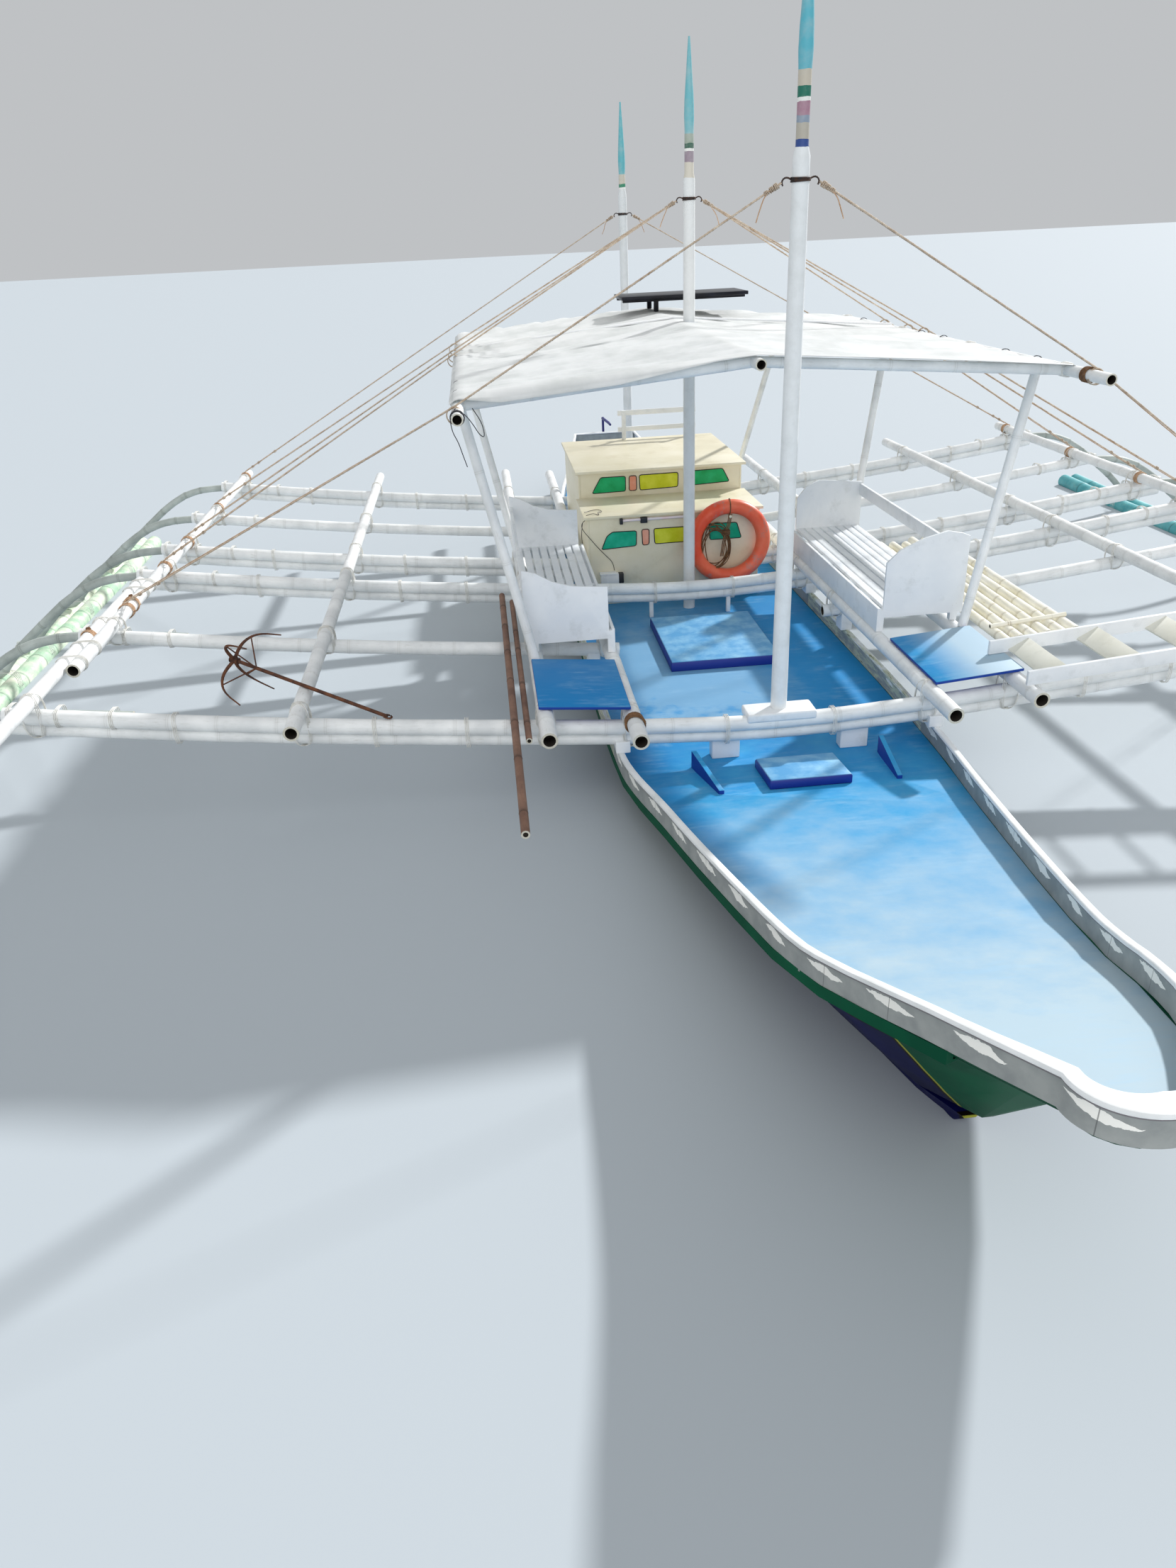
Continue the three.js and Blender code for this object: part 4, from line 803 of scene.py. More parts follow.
# Copies a CAD node's mesh as clean faces, rounds its edges and smooths its shading.
def dress(node, finish, edge, smooth=35):
    work = bmesh.new()
    work.from_mesh(frame["nodes"][node].data)
    bmesh.ops.remove_doubles(work, verts=work.verts, dist=0.00002)
    bmesh.ops.dissolve_limit(work, angle_limit=math.radians(0.5), verts=work.verts, edges=work.edges)
    piece = pieceFrom(work, node + "_finished", [finish])
    if edge:
        bevel = piece.modifiers.new("edges", "BEVEL")
        bevel.width = edge
        bevel.segments = 2
        bevel.limit_method = "ANGLE"
        bevel.angle_limit = math.radians(40)
        bevel.use_clamp_overlap = True
        shaped = bakedMesh(piece, node + "_finished")
        piece.modifiers.clear()
        piece.data = shaped
    smoothen(piece, smooth)
    settle(piece, [node], bodyOf[node])


# Cuts the corners of a path, a quarter of the way along, which keeps its ends.
def rounded(points, passes=2):
    path = [Vector(p) for p in points]
    for _ in range(passes):
        cut = [path[0]]
        for i in range(len(path) - 1):
            if i > 0:
                cut.append(path[i].lerp(path[i + 1], 0.25))
            if i < len(path) - 2:
                cut.append(path[i].lerp(path[i + 1], 0.75))
        path = [*cut, path[-1]]
    return path


# Plain CAD pieces that keep their shape: finish, rounding of the edges, angle of smooth shading.
dressed = {
    "hull_topsides": (greenHullEnamel, 0.0, 28), "hull_bottom": (navyHullEnamel, 0.0, 28),
    "deck": (deckEnamel, 0.004, 20), "main_hatch_lid": (hatchEnamel, 0.006),
    "bow_hatch_lid": (hatchEnamel, 0.006), "side_deck_starboard": (deckEnamel, 0.005),
    "side_deck_port": (deckEnamel, 0.005), "bench_starboard": (whiteBoardEnamel, 0.0025),
    "bench_port": (whiteBoardEnamel, 0.0025), "house_side_starboard": (creamBoardEnamel, 0.003),
    "house_side_port": (creamBoardEnamel, 0.003), "house_front": (creamBoardEnamel, 0.002),
    "house_shelf": (creamBoardEnamel, 0.005), "house_upper_front": (creamBoardEnamel, 0.002),
    "house_roof": (creamBoardEnamel, 0.005), "roof_rail": (whiteBoardEnamel, 0.004),
    "engine": (engineEnamel, 0.012), "rudder": (rudderEnamel, 0.003), "propeller": (castBronze, 0.002, 40),
    "canopy_batten": (whiteBoardEnamel, 0.003), "roof_panel": (darkGlass, 0.004),
}
for node, row in dressed.items():
    dress(node, *row)
print("boards and hull dressed:", len(dressed))


# Beams and poles of the outriggers, with the CAD model's own sizes. A pole's knots reach its CAD
# radius, so what lies between them is slimmer by one of these shares.
postProud, poleProud, armProud = 1.01, 1.02, 1.03
clearance = 0.0003  # between pieces that rest on each other
# Places and radii of the long poles. The outer ones are two on each side, one of them only ahead.
innerX, sideX, midX, outerX, aheadX = 0.94, 1.47, 2.93, 4.35, 4.436
longRadius, midRadius, outerRadius, aheadRadius = 0.052, 0.048, 0.046, 0.044
# The middle pole on the port side runs inward: x at the bow end and at the stern end.
midBowX, midSternX = 3.23, 3.10
midFrom, midTo = -0.33, 6.9

crownLine = [
    (0, 0.54), (innerX, 0.59), (sideX, 0.635), (2.2, 0.7), (midX, 0.775), (3.6, 0.855), (4.2, 0.935),
    (4.45, 0.968), (4.6, 0.99),
]
armLine = [
    (3.9, 0.845), (4.45, 0.905), (4.75, 0.915), (4.98, 0.88), (5.22, 0.76), (5.48, 0.56), (5.72, 0.37),
    (5.86, 0.225), (5.93, 0.1413), (6.08, 0.1413),
]
beamLook = {
    "radius": 0.05, "lowerRadius": 0.045, "lowerDrop": 0.082, "lowerAft": 0.025, "armRadius": 0.036,
    "armAft": 0.062, "stub": 0.84,
    # Name, y, poles, sides it reaches.
    "rows": [
        ("beam_1", 0.0, 2, (-1, 1)), ("beam_2_starboard", 1.4, 1, (-1,)), ("beam_2_port", 1.9, 1, (1,)),
        ("beam_3", 2.88, 2, (-1, 1)), ("beam_4", 3.68, 2, (-1, 1)), ("beam_5", 4.85, 1, (-1, 1)),
        ("beam_6", 6.3, 2, (-1, 1)),
    ],
    "poles": {"Internode": 0.34, "Knot height": 0.026, "Sides": 16},
    "arms": {"Internode": 0.26, "Knot height": 0.04, "Sides": 12},
}


def crownTop(x):
    at = abs(x)
    i = 0
    while i < len(crownLine) - 2 and at > crownLine[i + 1][0]:
        i += 1
    (x0, z0), (x1, z1) = crownLine[i], crownLine[i + 1]
    return z0 + (at - x0) / (x1 - x0) * (z1 - z0)


# Height of a pole's centre where it rests on the beams.
def restingOn(x, radius):
    lean = math.atan((crownTop(abs(x) + 0.005) - crownTop(abs(x) - 0.005)) / 0.01)
    return crownTop(x) - beamLook["radius"] + (beamLook["radius"] + clearance) / math.cos(lean) + radius


def buildBeams(look):
    for seed, (name, y, poles, sides) in enumerate(look["rows"]):
        outward = [x for x, _ in crownLine]
        if len(sides) > 1:
            xs = [-x for x in reversed(outward[1:])] + outward
        else:
            xs = [sides[0] * x for x in [look["stub"], *outward[1:]]]
        upper = [(x, y, crownTop(x) - look["radius"]) for x in xs]
        runs = [(rounded(upper), look["radius"] / poleProud)]
        if poles > 1:
            lower = [(x, y + look["lowerAft"], z - look["lowerDrop"]) for x, _, z in upper]
            runs.append((rounded(lower), look["lowerRadius"] / poleProud))
        main = bamboo(name + "_poles", runs, whiteBamboo, look["poles"], seed)
        arms = []
        for side in sides:
            path = rounded([(side * x, y + look["armAft"], z) for x, z in armLine])
            arms.append((path, look["armRadius"] / armProud))
        grey = bamboo(name + "_arms", arms, greyBamboo, look["arms"], seed + 20)
        settle(joinPieces(name + "_bamboo", [main, grey]), [name])


buildBeams(beamLook)
print("beams grown")

poleLook = {
    # Node, bow x, stern x, radius, y from, y to.
    "rows": [
        ("inner_pole_starboard", -innerX, -innerX, longRadius, -0.44, 7.3),
        ("inner_pole_port", innerX, innerX, longRadius, -0.44, 7.3),
        ("side_pole_starboard", -sideX, -sideX, longRadius, -0.42, 7.3),
        ("side_pole_port", sideX, sideX, longRadius, -0.42, 7.3),
        ("mid_pole_starboard", -midX, -midX, midRadius, midFrom, midTo),
        ("mid_pole_port", midBowX, midSternX, midRadius, midFrom, midTo),
    ],
    # Outer poles of each side: x, radius, y from, y to.
    "outer": [(outerX, outerRadius, 0.5, 6.62), (aheadX, aheadRadius, -0.6, 2.4)],
    "growth": {
        "Internode": 0.36, "Knot height": 0.026, "Sides": 18, "Bore share": 0.74, "Bore depth": 0.12,
    },
}


def buildPoles(look):
    for seed, (node, bowX, sternX, radius, start, end) in enumerate(look["rows"]):
        path = [(bowX, start, restingOn(bowX, radius)), (sternX, end, restingOn(sternX, radius))]
        run = (path, radius / poleProud)
        piece = bamboo(node + "_bamboo", [run], whiteBamboo, look["growth"], seed + 40)
        settle(piece, [node])
    for side, tag in ((-1, "starboard"), (1, "port")):
        runs = []
        for x, radius, start, end in look["outer"]:
            z = restingOn(x, radius)
            runs.append(([(side * x, start, z), (side * x, end, z)], radius / poleProud))
        piece = bamboo("outer_pole_" + tag + "_bamboo", runs, whiteBamboo, look["growth"], 50 + side)
        settle(piece, ["outer_pole_" + tag])


buildPoles(poleLook)

floatLook = {
    "x": 5.95, "z": 0.02, "radius": 0.085, "pitch": 0.15,
    # Run of a float: y, rise.
    "run": [(-3.0, 0.26), (-2.5, 0.095), (-1.9, 0.015), (-1.0, 0), (2.5, 0), (6.5, 0), (7.7, 0.025)],
    "growth": {
        "Internode": 0.42, "Knot height": 0.026, "Sides": 20, "Bore share": 0.78, "Bore depth": 0.12,
    },
}


def buildFloats(look):
    for side, tag, finish in ((-1, "starboard", mottledBamboo), (1, "port", tealBamboo)):
        runs = []
        for shift in (-look["pitch"] / 2, look["pitch"] / 2):
            path = [(side * look["x"] + shift, y, look["z"] + rise) for y, rise in look["run"]]
            runs.append((rounded(path), look["radius"] / poleProud))
        piece = bamboo("float_" + tag + "_bamboo", runs, finish, look["growth"], 60 + side)
        settle(piece, ["float_" + tag])


buildFloats(floatLook)

rackLook = {
    "radius": 0.036, "xs": [1.7, 1.795, 1.89, 1.985, 2.08, 2.175], "from": 0.48, "to": 3.06,
    # Battens: their y, their ends in x, how far their middle lies above the poles.
    "battens": (0.76, 2.45), "battenXs": (1.67, 2.205), "battenLift": 0.006, "battenRadius": 0.016,
    "growth": {"Internode": 0.3, "Knot height": 0.05, "Sides": 14, "Bore share": 0.7, "Bore depth": 0.08},
}


def buildRack(look):
    runs = []
    radius = look["radius"]
    for i, x in enumerate(look["xs"]):
        z = restingOn(x, radius)
        start, end = look["from"] + (i % 2) * 0.07, look["to"] - (i % 3) * 0.05
        runs.append(([(x, start, z), (x, end, z)], radius / armProud))
    for y in look["battens"]:
        path = [(x, y, restingOn(x, radius) + radius + look["battenLift"]) for x in look["battenXs"]]
        runs.append((path, look["battenRadius"]))
    piece = bamboo("bamboo_rack_poles", runs, creamBamboo, look["growth"], 71)
    settle(piece, ["bamboo_rack"])


buildRack(rackLook)

puntLook = {
    # Node, x, y from, y to, radius.
    "rows": [("punt_pole_1", -1.66, -1.45, 2.45, 0.024), ("punt_pole_2", -1.585, -0.35, 2.3, 0.02)],
    "growth": {
        "Internode": 0.55, "Knot height": 0.08, "Sides": 12, "Bore share": 0.6, "Bore depth": 0.01,
    },
}


def buildPuntPoles(look):
    for seed, (node, x, start, end, radius) in enumerate(look["rows"]):
        low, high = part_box(node)
        path = [(x, y, (low[2] + high[2]) / 2) for y in (start, (start + end) / 2, end)]
        run = (path, radius / poleProud)
        piece = bamboo(node + "_stem", [run], brownPole, look["growth"], 80 + seed)
        settle(piece, [node])


buildPuntPoles(puntLook)
print("poles, floats and rack grown")


# Canopy frame and its sheet.
roofLook = {
    "eaveX": 1.833, "eaveZ": 2.412, "ridgeX": -0.088, "ridgeZ": 2.56, "eaveRadius": 0.035, "eaveFront": 0.048,
    "front": 0.45, "aft": 4.8,
    "rafters": [(0.56, 0.033), (1.95, 0.025), (3.3, 0.025), (4.72, 0.025)],  # y, radius
    "growth": {"Internode": 0.5, "Knot height": 0.026, "Sides": 16, "Bore share": 0.76, "Bore depth": 0.1},
}


def buildRoofFrame(look):
    top, radius = (look["ridgeX"], look["ridgeZ"]), look["eaveRadius"] / poleProud
    runs = [([(top[0], look["front"] - 0.06, top[1]), (top[0], look["aft"] + 0.06, top[1])], radius)]
    for x in (-look["eaveX"], look["eaveX"]):
        runs.append(([(x, y, look["eaveZ"]) for y in (look["eaveFront"], look["aft"] + 0.08)], radius))
        for y, size in look["rafters"]:
            runs.append(([(top[0], y, top[1]), (x, y, look["eaveZ"])], size / poleProud))
    piece = bamboo("roof_frame_poles", runs, whiteBamboo, look["growth"], 90)
    settle(piece, ["roof_frame"])


buildRoofFrame(roofLook)


# Height of the frame under the sheet.
def canopyUnder(x):
    look = roofLook
    off = x - look["ridgeX"]
    share = abs(off) / (look["eaveX"] - math.copysign(look["ridgeX"], off))
    return look["ridgeZ"] + look["eaveRadius"] + 0.0012 + share * (look["eaveZ"] - look["ridgeZ"])


tarpLook = {
    "edgeX": 1.88, "front": 0.45, "aft": 4.8, "cell": 0.03, "holeY": 3.1, "holeRadius": 0.064,
    "sag": 0.05, "edgeDrop": 0.028, "wrinkle": 0.007, "thick": 0.0016, "frontDrop": 0.052, "gather": 0.55,
    # Long folds: strength, how close, how slanted, shift.
    "folds": [(1, 14, 0.5, 0), (0.7, 24, -0.6, 1.7), (0.3, 41, 0.9, 0)],
}


# The sheet's height: sag between the rafters, folds, the hanging front, the tuck over the eaves.
def sheetHeight(x, y, look):
    base = canopyUnder(x) + 0.003
    rafters = [look["front"], *[row[0] for row in roofLook["rafters"][1:-1]], look["aft"]]
    sag = 0.0
    for near, far in zip(rafters, rafters[1:]):
        if near <= y <= far:
            share = (y - near) / (far - near)
            sag = math.sin(math.pi * share) ** 2
    span = abs(x - roofLook["ridgeX"]) / look["edgeX"]
    belly = math.sin(math.pi * min(span, 1)) ** 0.8
    base += 0.006 - look["sag"] * sag * belly * 0.7
    # Long folds run across and gather towards the starboard eave.
    portward = (x + look["edgeX"]) / (2 * look["edgeX"])
    fan = (y - look["front"]) / (look["gather"] + (1 - look["gather"]) * portward)
    folds = 0.0
    for size, close, slant, shift in look["folds"]:
        folds += size * math.sin(fan * close + x * slant + shift)
    crest = 1 - 0.5 * math.exp(-((x - roofLook["ridgeX"]) / 0.16) ** 2)
    base += look["wrinkle"] * folds * (0.5 + 0.5 * belly) * crest
    # Ahead of the first rafter the starboard half hangs down.
    ahead = max(0.0, roofLook["rafters"][0][0] - 0.03 - y) / 0.08
    half = min(max((-0.3 - x) / 0.6, 0.0), 1.0) * min(max((1.84 + x) / 0.25, 0.0), 1.0)
    base -= look["frontDrop"] * min(ahead, 1.0) ** 1.4 * half
    tuck = max(0.0, abs(x) - (roofLook["eaveX"] - 0.01)) / (look["edgeX"] - roofLook["eaveX"] + 0.01)
    return base - look["edgeDrop"] * tuck ** 1.5


def buildCanopy(look):
    columns = round(2 * look["edgeX"] / look["cell"])
    rows = round((look["aft"] - look["front"]) / look["cell"])
    work = bmesh.new()
    across = work.verts.layers.float.new("across")
    along = work.verts.layers.float.new("along")
    grid = []
    for j in range(rows + 1):
        y = look["front"] + (look["aft"] - look["front"]) * j / rows
        line = []
        for i in range(columns + 1):
            x = -look["edgeX"] + 2 * look["edgeX"] * i / columns
            point = work.verts.new((x, y, sheetHeight(x, y, look)))
            point[across], point[along] = x, y
            line.append(point)
        grid.append(line)
    hole = Vector((0, look["holeY"]))
    for j in range(rows):
        for i in range(columns):
            corners = [grid[j][i], grid[j][i + 1], grid[j + 1][i + 1], grid[j + 1][i]]
            if all((corner.co.xy - hole).length > look["holeRadius"] * 0.8 for corner in corners):
                work.faces.new(corners)
    bmesh.ops.delete(work, geom=[v for v in work.verts if not v.link_faces], context="VERTS")
    for vertex in work.verts:
        arm = vertex.co.xy - hole
        if arm.length < look["holeRadius"] * 1.35 and vertex.is_boundary:
            vertex.co.xy = hole + arm.normalized() * look["holeRadius"]
    piece = pieceFrom(work, "canopy_sheet", [tarpaulin], 180)
    thicken = piece.modifiers.new("thickness", "SOLIDIFY")
    thicken.thickness = look["thick"]
    thicken.offset = 1
    settle(piece, ["canopy"])


buildCanopy(tarpLook)
print("canopy stretched")


# Masts turned from one profile.
mastLook = {
    "radius": 0.05, "head": 0.044, "neck": 0.033, "belly": 0.037, "sides": 32,
    # Node, y, then heights of the shoulder, the neck, the belly and the tip.
    "rows": [
        ("mast_front", 0.05, 3.59, 3.935, 4.011, 4.56), ("mast_middle", 3.1, 3.6, 3.885, 3.982, 4.472),
        ("mast_aft", 6.98, 3.6, 3.78, 3.883, 4.425),
    ],
}


def turned(name, profile, sides, place, finish):
    work = bmesh.new()
    rings = []
    for radius, z in profile:
        turns = [(math.cos(a), math.sin(a)) for a in evenAngles(sides)]
        rings.append([work.verts.new((place[0] + radius * c, place[1] + radius * s, z)) for c, s in turns])
    skin(work, rings)
    work.faces.new(list(reversed(rings[0])))
    work.faces.new(rings[-1])
    return pieceFrom(work, name, [finish], 50)


def buildMasts(look):
    for node, y, shoulder, neck, belly, tip in look["rows"]:
        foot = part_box(node)[0][2]
        knots = [(look["radius"], foot), (look["radius"], foot + 0.2), (look["head"], shoulder - 0.02)]
        knots += [(look["neck"] + 0.001, shoulder + 0.025), (look["neck"], neck), (look["belly"], belly)]
        knots += [(look["belly"] * 0.93, belly + 0.1), (0.007, tip)]
        # Painted rings stand a little proud of the neck.
        profile = []
        for (r0, z0), (r1, z1) in zip(knots, knots[1:]):
            steps = max(1, round((z1 - z0) / 0.035))
            for s in range(steps):
                t = s / steps
                z = z0 + (z1 - z0) * t
                bead = 0.0016 * math.sin(z * 170) if shoulder + 0.02 < z < neck else 0.0
                profile.append((r0 + (r1 - r0) * t + bead, z))
        profile.append(knots[-1])
        pole = turned(node + "_pole", profile, look["sides"], (0, y), mastPaints[node])
        settle(pole, [node])


buildMasts(mastLook)

# Posts between the poles and the eaves.
postLook = {
    # Node, foot's x and y, top's x and y, radius.
    "rows": [("post_aft_port", 0.94, 5.62, 1.19, 4.72, 0.029)],
    "pairs": [
        ("post_front", 1.478, 0.78, 1.833, 0.93, 0.032), ("post_middle", 1.478, 3.23, 1.833, 3.65, 0.032),
    ],
    "growth": {"Internode": 0.5, "Knot height": 0.03, "Sides": 18, "Bore share": 0.5, "Bore depth": 0.004},
}


def buildPosts(look):
    rows = []
    for name, footX, footY, topX, topY, radius in look["pairs"]:
        for side, tag in ((-1, "_starboard"), (1, "_port")):
            rows.append((name + tag, side * footX, footY, side * topX, topY, radius))
    for node, footX, footY, topX, topY, radius in rows + look["rows"]:
        low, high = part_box(node)
        path = [(footX, footY, low[2]), (topX, topY, high[2])]
        piece = bamboo(node + "_pole", [(path, radius / postProud)], whiteBamboo, look["growth"])
        settle(piece, [node])


buildPosts(postLook)
print("masts and posts stand")


# Hull edge lines: y, half breadth at the rail, top of the rail.
hullLines = [
    (-3.85, 0.235, 1.14), (-3.5, 0.4, 1.06), (-3.12, 0.515, 0.925), (-2.93, 0.56, 0.85),
    (-2.6, 0.635, 0.74), (-2.0, 0.735, 0.63), (-1.0, 0.89, 0.49), (0.0, 1.03, 0.385),
    (1.2, 1.06, 0.375), (4.5, 1.05, 0.375), (5.7, 0.985, 0.375), (6.4, 0.915, 0.395),
    (7.4, 0.79, 0.45), (8.5, 0.6, 0.56), (9.6, 0.43, 0.72),
]
deckDrop = 0.1297  # from the rail's top to the deck, less the clearance


# One column of the hull's lines at any y, on a smooth curve through the rows.
def hullLine(column, y):
    rows = hullLines
    at = min(max(y, rows[0][0]), rows[-1][0])
    i = 0
    while i < len(rows) - 2 and at > rows[i + 1][0]:
        i += 1

    def rise(k):
        return (rows[k + 1][column] - rows[k][column]) / (rows[k + 1][0] - rows[k][0])

    def slope(k):
        if k == 0 or k == len(rows) - 1:
            return rise(max(k - 1, 0))
        before, after = rise(k - 1), rise(k)
        return 0 if before * after <= 0 else 2 * before * after / (before + after)

    span = rows[i + 1][0] - rows[i][0]
    t = (at - rows[i][0]) / span
    eased = 3 * t ** 2 - 2 * t ** 3
    level = rows[i][column] * (1 - eased) + rows[i + 1][column] * eased
    return level + span * ((t ** 3 - 2 * t ** 2 + t) * slope(i) + (t ** 3 - t ** 2) * slope(i + 1))


# Rail plank and its cap, round the whole edge of the hull.
railShape = {
    "noseY": -3.85, "noseLength": 0.195, "noseHalf": 0.235, "noseSteps": 14, "transomY": 9.6, "step": 0.11,
    "height": 0.13, "thick": 0.03, "capWide": 0.038, "noseExtra": 0.055, "capThick": 0.022,
}


def buildRail(look):
    port = []
    for i in range(look["noseSteps"] + 1):
        angle = (1 - i / look["noseSteps"]) * math.pi / 2
        y = look["noseY"] - look["noseLength"] * math.sin(angle)
        port.append((look["noseHalf"] * math.cos(angle), y))
    stations = round((look["transomY"] - look["noseY"]) / look["step"])
    for i in range(1, stations + 1):
        y = look["noseY"] + (look["transomY"] - look["noseY"]) * i / stations
        port.append((hullLine(1, y), y))
    reach, length = [0.0], 0.0
    for a, b in zip(port, port[1:]):
        length += math.dist(a, b)
        reach.append(length)
    loop = [(x, y, r) for (x, y), r in zip(port, reach)]
    loop += [(-x, y, r) for x, y, r in reversed(loop[1:])]
    work = bmesh.new()
    alongLayer = work.verts.layers.float.new("along")
    dropLayer = work.verts.layers.float.new("drop")
    rings = []
    for i, (x, y, r) in enumerate(loop):
        before, after = Vector(loop[i - 1][:2]), Vector(loop[(i + 1) % len(loop)][:2])
        here = Vector((x, y))
        first, second = (here - before).normalized(), (after - here).normalized()
        normal = Vector((-(first.y + second.y), first.x + second.x)).normalized()
        square = Vector((-second.y, second.x))
        mitre = 1 / max(normal.dot(square), 0.3)
        nose = max(0.0, 1 - r / 0.75) ** 1.5
        wide = look["capWide"] + look["noseExtra"] * nose
        top = hullLine(2, y)
        lip = look["capThick"]
        section = [
            (0.004, look["height"]), (0.004, 0.1), (0.004, 0.07), (0.004, 0.05), (0.004, lip + 0.003),
            (0, lip - 0.003), (0, 0.008), (0.003, 0.002), (0.009, 0), (wide - 0.009, 0),
            (wide - 0.003, 0.003), (wide, 0.009), (wide, lip), (look["thick"], lip),
            (look["thick"], look["height"]),
        ]
        ring = []
        for inward, drop in section:
            spot = here + normal * inward * mitre
            point = work.verts.new((spot.x, spot.y, top - drop))
            point[alongLayer], point[dropLayer] = r, drop
            ring.append(point)
        rings.append(ring)
    skin(work, rings, closed=True, flip=True)
    bmesh.ops.recalc_face_normals(work, faces=work.faces)
    settle(pieceFrom(work, "rail_plank", [railEnamel], 42), ["rail"])


buildRail(railShape)


# Painted timber blocks: chocks on the rails, props under the third beam, the pad of the mast.
def block(name, low, high, finish, edge):
    work = bmesh.new()
    bmesh.ops.create_cube(work, size=1)
    for vertex in work.verts:
        for axis in range(3):
            vertex.co[axis] = high[axis] if vertex.co[axis] > 0 else low[axis]
    bmesh.ops.bevel(work, geom=work.edges[:], offset=edge, segments=3, profile=0.5, affect="EDGES")
    return pieceFrom(work, name, [finish], 35)


# A board cut to an outline in x and z, between two places along y.
def prism(name, outline, near, far, finish, edge=0.0):
    work = bmesh.new()
    front = [work.verts.new((x, near, z)) for x, z in outline]
    back = [work.verts.new((x, far, z)) for x, z in outline]
    work.faces.new(front)
    work.faces.new(list(reversed(back)))
    for i in range(len(outline)):
        k = (i + 1) % len(outline)
        work.faces.new((front[k], front[i], back[i], back[k]))
    bmesh.ops.recalc_face_normals(work, faces=work.faces)
    if edge:
        bmesh.ops.bevel(work, geom=work.edges[:], offset=edge, segments=2, profile=0.5, affect="EDGES")
    return pieceFrom(work, name, [finish], 35 if edge else None)


blockLook = {
    "half": 0.045, "chock": 0.065, "aft": 0.02, "props": (-0.37, 0.31), "propHalf": 0.017,
    "stools": (-0.335, 0.5), "stoolHalf": 0.09, "stoolFrom": 0.03, "stoolTo": 0.12,
    "padHalf": 0.22, "padFrom": -0.055, "padTo": 0.13, "padFoot": 0.02,
}


def buildBlocks(look):
    rows = []  # name, low corner, high corner, rounding of the edges
    for name, y, poles, sides in beamLook["rows"]:
        for side in sides:
            near, far = y - look["chock"] + look["aft"], y + look["chock"] + look["aft"]
            x = side * (hullLine(1, y) - 0.03)
            foot = max(hullLine(2, near), hullLine(2, far))
            top = crownTop(x) - beamLook["radius"] - (beamLook["lowerDrop"] if poles > 1 else 0)
            rows.append(("chock", (x - look["half"], near, foot), (x + look["half"], far, top), 0.006))
    y = beamLook["rows"][3][1] + beamLook["lowerAft"]
    for x in look["props"]:
        top = crownTop(x) - beamLook["radius"] - beamLook["lowerDrop"]
        foot, half = hullLine(2, y) - deckDrop, look["propHalf"]
        rows.append(("prop", (x - half, y - half, foot), (x + half, y + half, top), 0.003))
    for x in look["stools"]:
        under = crownTop(x) - beamLook["radius"] - beamLook["lowerDrop"] - beamLook["lowerRadius"]
        low = (x - look["stoolHalf"], look["stoolFrom"], hullLine(2, look["stoolFrom"]) - deckDrop)
        rows.append(("stool", low, (x + look["stoolHalf"], look["stoolTo"], under), 0.008))
    low = (-look["padHalf"], look["padFrom"], crownTop(0) - look["padFoot"])
    high = (look["padHalf"], look["padTo"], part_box("mast_front")[0][2] - clearance)
    rows.append(("pad", low, high, 0.014))
    made = [block(name, low, high, whiteBoardEnamel, edge) for name, low, high, edge in rows]
    settle(joinPieces("beam_chocks_and_pad", made))


buildBlocks(blockLook)
print("rail and chocks built")


# Boarding ladder, stowed flat: its steps lean as they do on the quay, so they tilt here.
ladderLook = {
    "tall": 0.09, "thick": 0.026, "steps": 5, "first": 0.13, "last": 0.17, "run": 0.125, "rise": 0.07,
    "stepThick": 0.018, "lift": 0.006,
}


def buildLadder(look):
    low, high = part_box("boarding_ladder")
    slope = (high[2] - look["tall"] - low[2]) / (high[0] - low[0])

    def under(x):
        return low[2] + slope * (x - low[0])

    made = []
    rails = (low[1], high[1] - look["thick"])
    for near in rails:
        outline = [(low[0], under(low[0])), (high[0], under(high[0]))]
        outline += [(x, z + look["tall"]) for x, z in reversed(outline)]
        made.append(prism("rail", outline, near, near + look["thick"], whiteBoardEnamel, 0.004))
    span = high[0] - look["last"] - low[0] - look["first"]
    for i in range(look["steps"]):
        x = low[0] + look["first"] + span * i / (look["steps"] - 1)
        z = under(x) + look["lift"]
        outline = [(x, z), (x + look["run"], z + look["rise"])]
        outline += [(ox - 0.004, oz + look["stepThick"] * 0.7) for ox, oz in reversed(outline)]
        made.append(prism("step", outline, rails[0] + 0.02, rails[1] + 0.006, ivoryBoardEnamel, 0.003))
    settle(joinPieces("boarding_ladder_boards", made), ["boarding_ladder"])


buildLadder(ladderLook)


# Life ring: a fat shell with a seam, and the line coiled in it.
ringLook = {"centre": (0.389, 3.2677, 0.7676), "reach": 0.308, "tube": 0.062, "around": 96, "section": 28}


def buildRing(look):
    cx, cy, cz = look["centre"]
    work = bmesh.new()
    rings = []
    for a in evenAngles(look["around"]):
        ring = []
        for b in evenAngles(look["section"]):
            seam = 0.0016 if abs(math.cos(b)) > 0.995 else 0
            r = look["tube"] - seam
            out = look["reach"] + r * math.cos(b)
            spot = (cx + out * math.cos(a), cy + r * math.sin(b), cz + out * math.sin(a))
            ring.append(work.verts.new(spot))
        rings.append(ring)
    skin(work, rings, closed=True)
    bmesh.ops.recalc_face_normals(work, faces=work.faces)
    settle(pieceFrom(work, "life_ring_shell", [ringShell], 180), ["life_ring"])


buildRing(ringLook)

coilLook = {
    "middle": (-0.125, -0.04), "half": (0.13, 0.185), "turns": 8, "radius": 0.0055, "front": -0.028,
    "seed": 5,
    # Points of a bight, from the ring's centre.
    "bight": [(-0.012, -0.045, 0.17), (-0.05, -0.04, 0.02), (-0.07, -0.035, -0.12)],
}


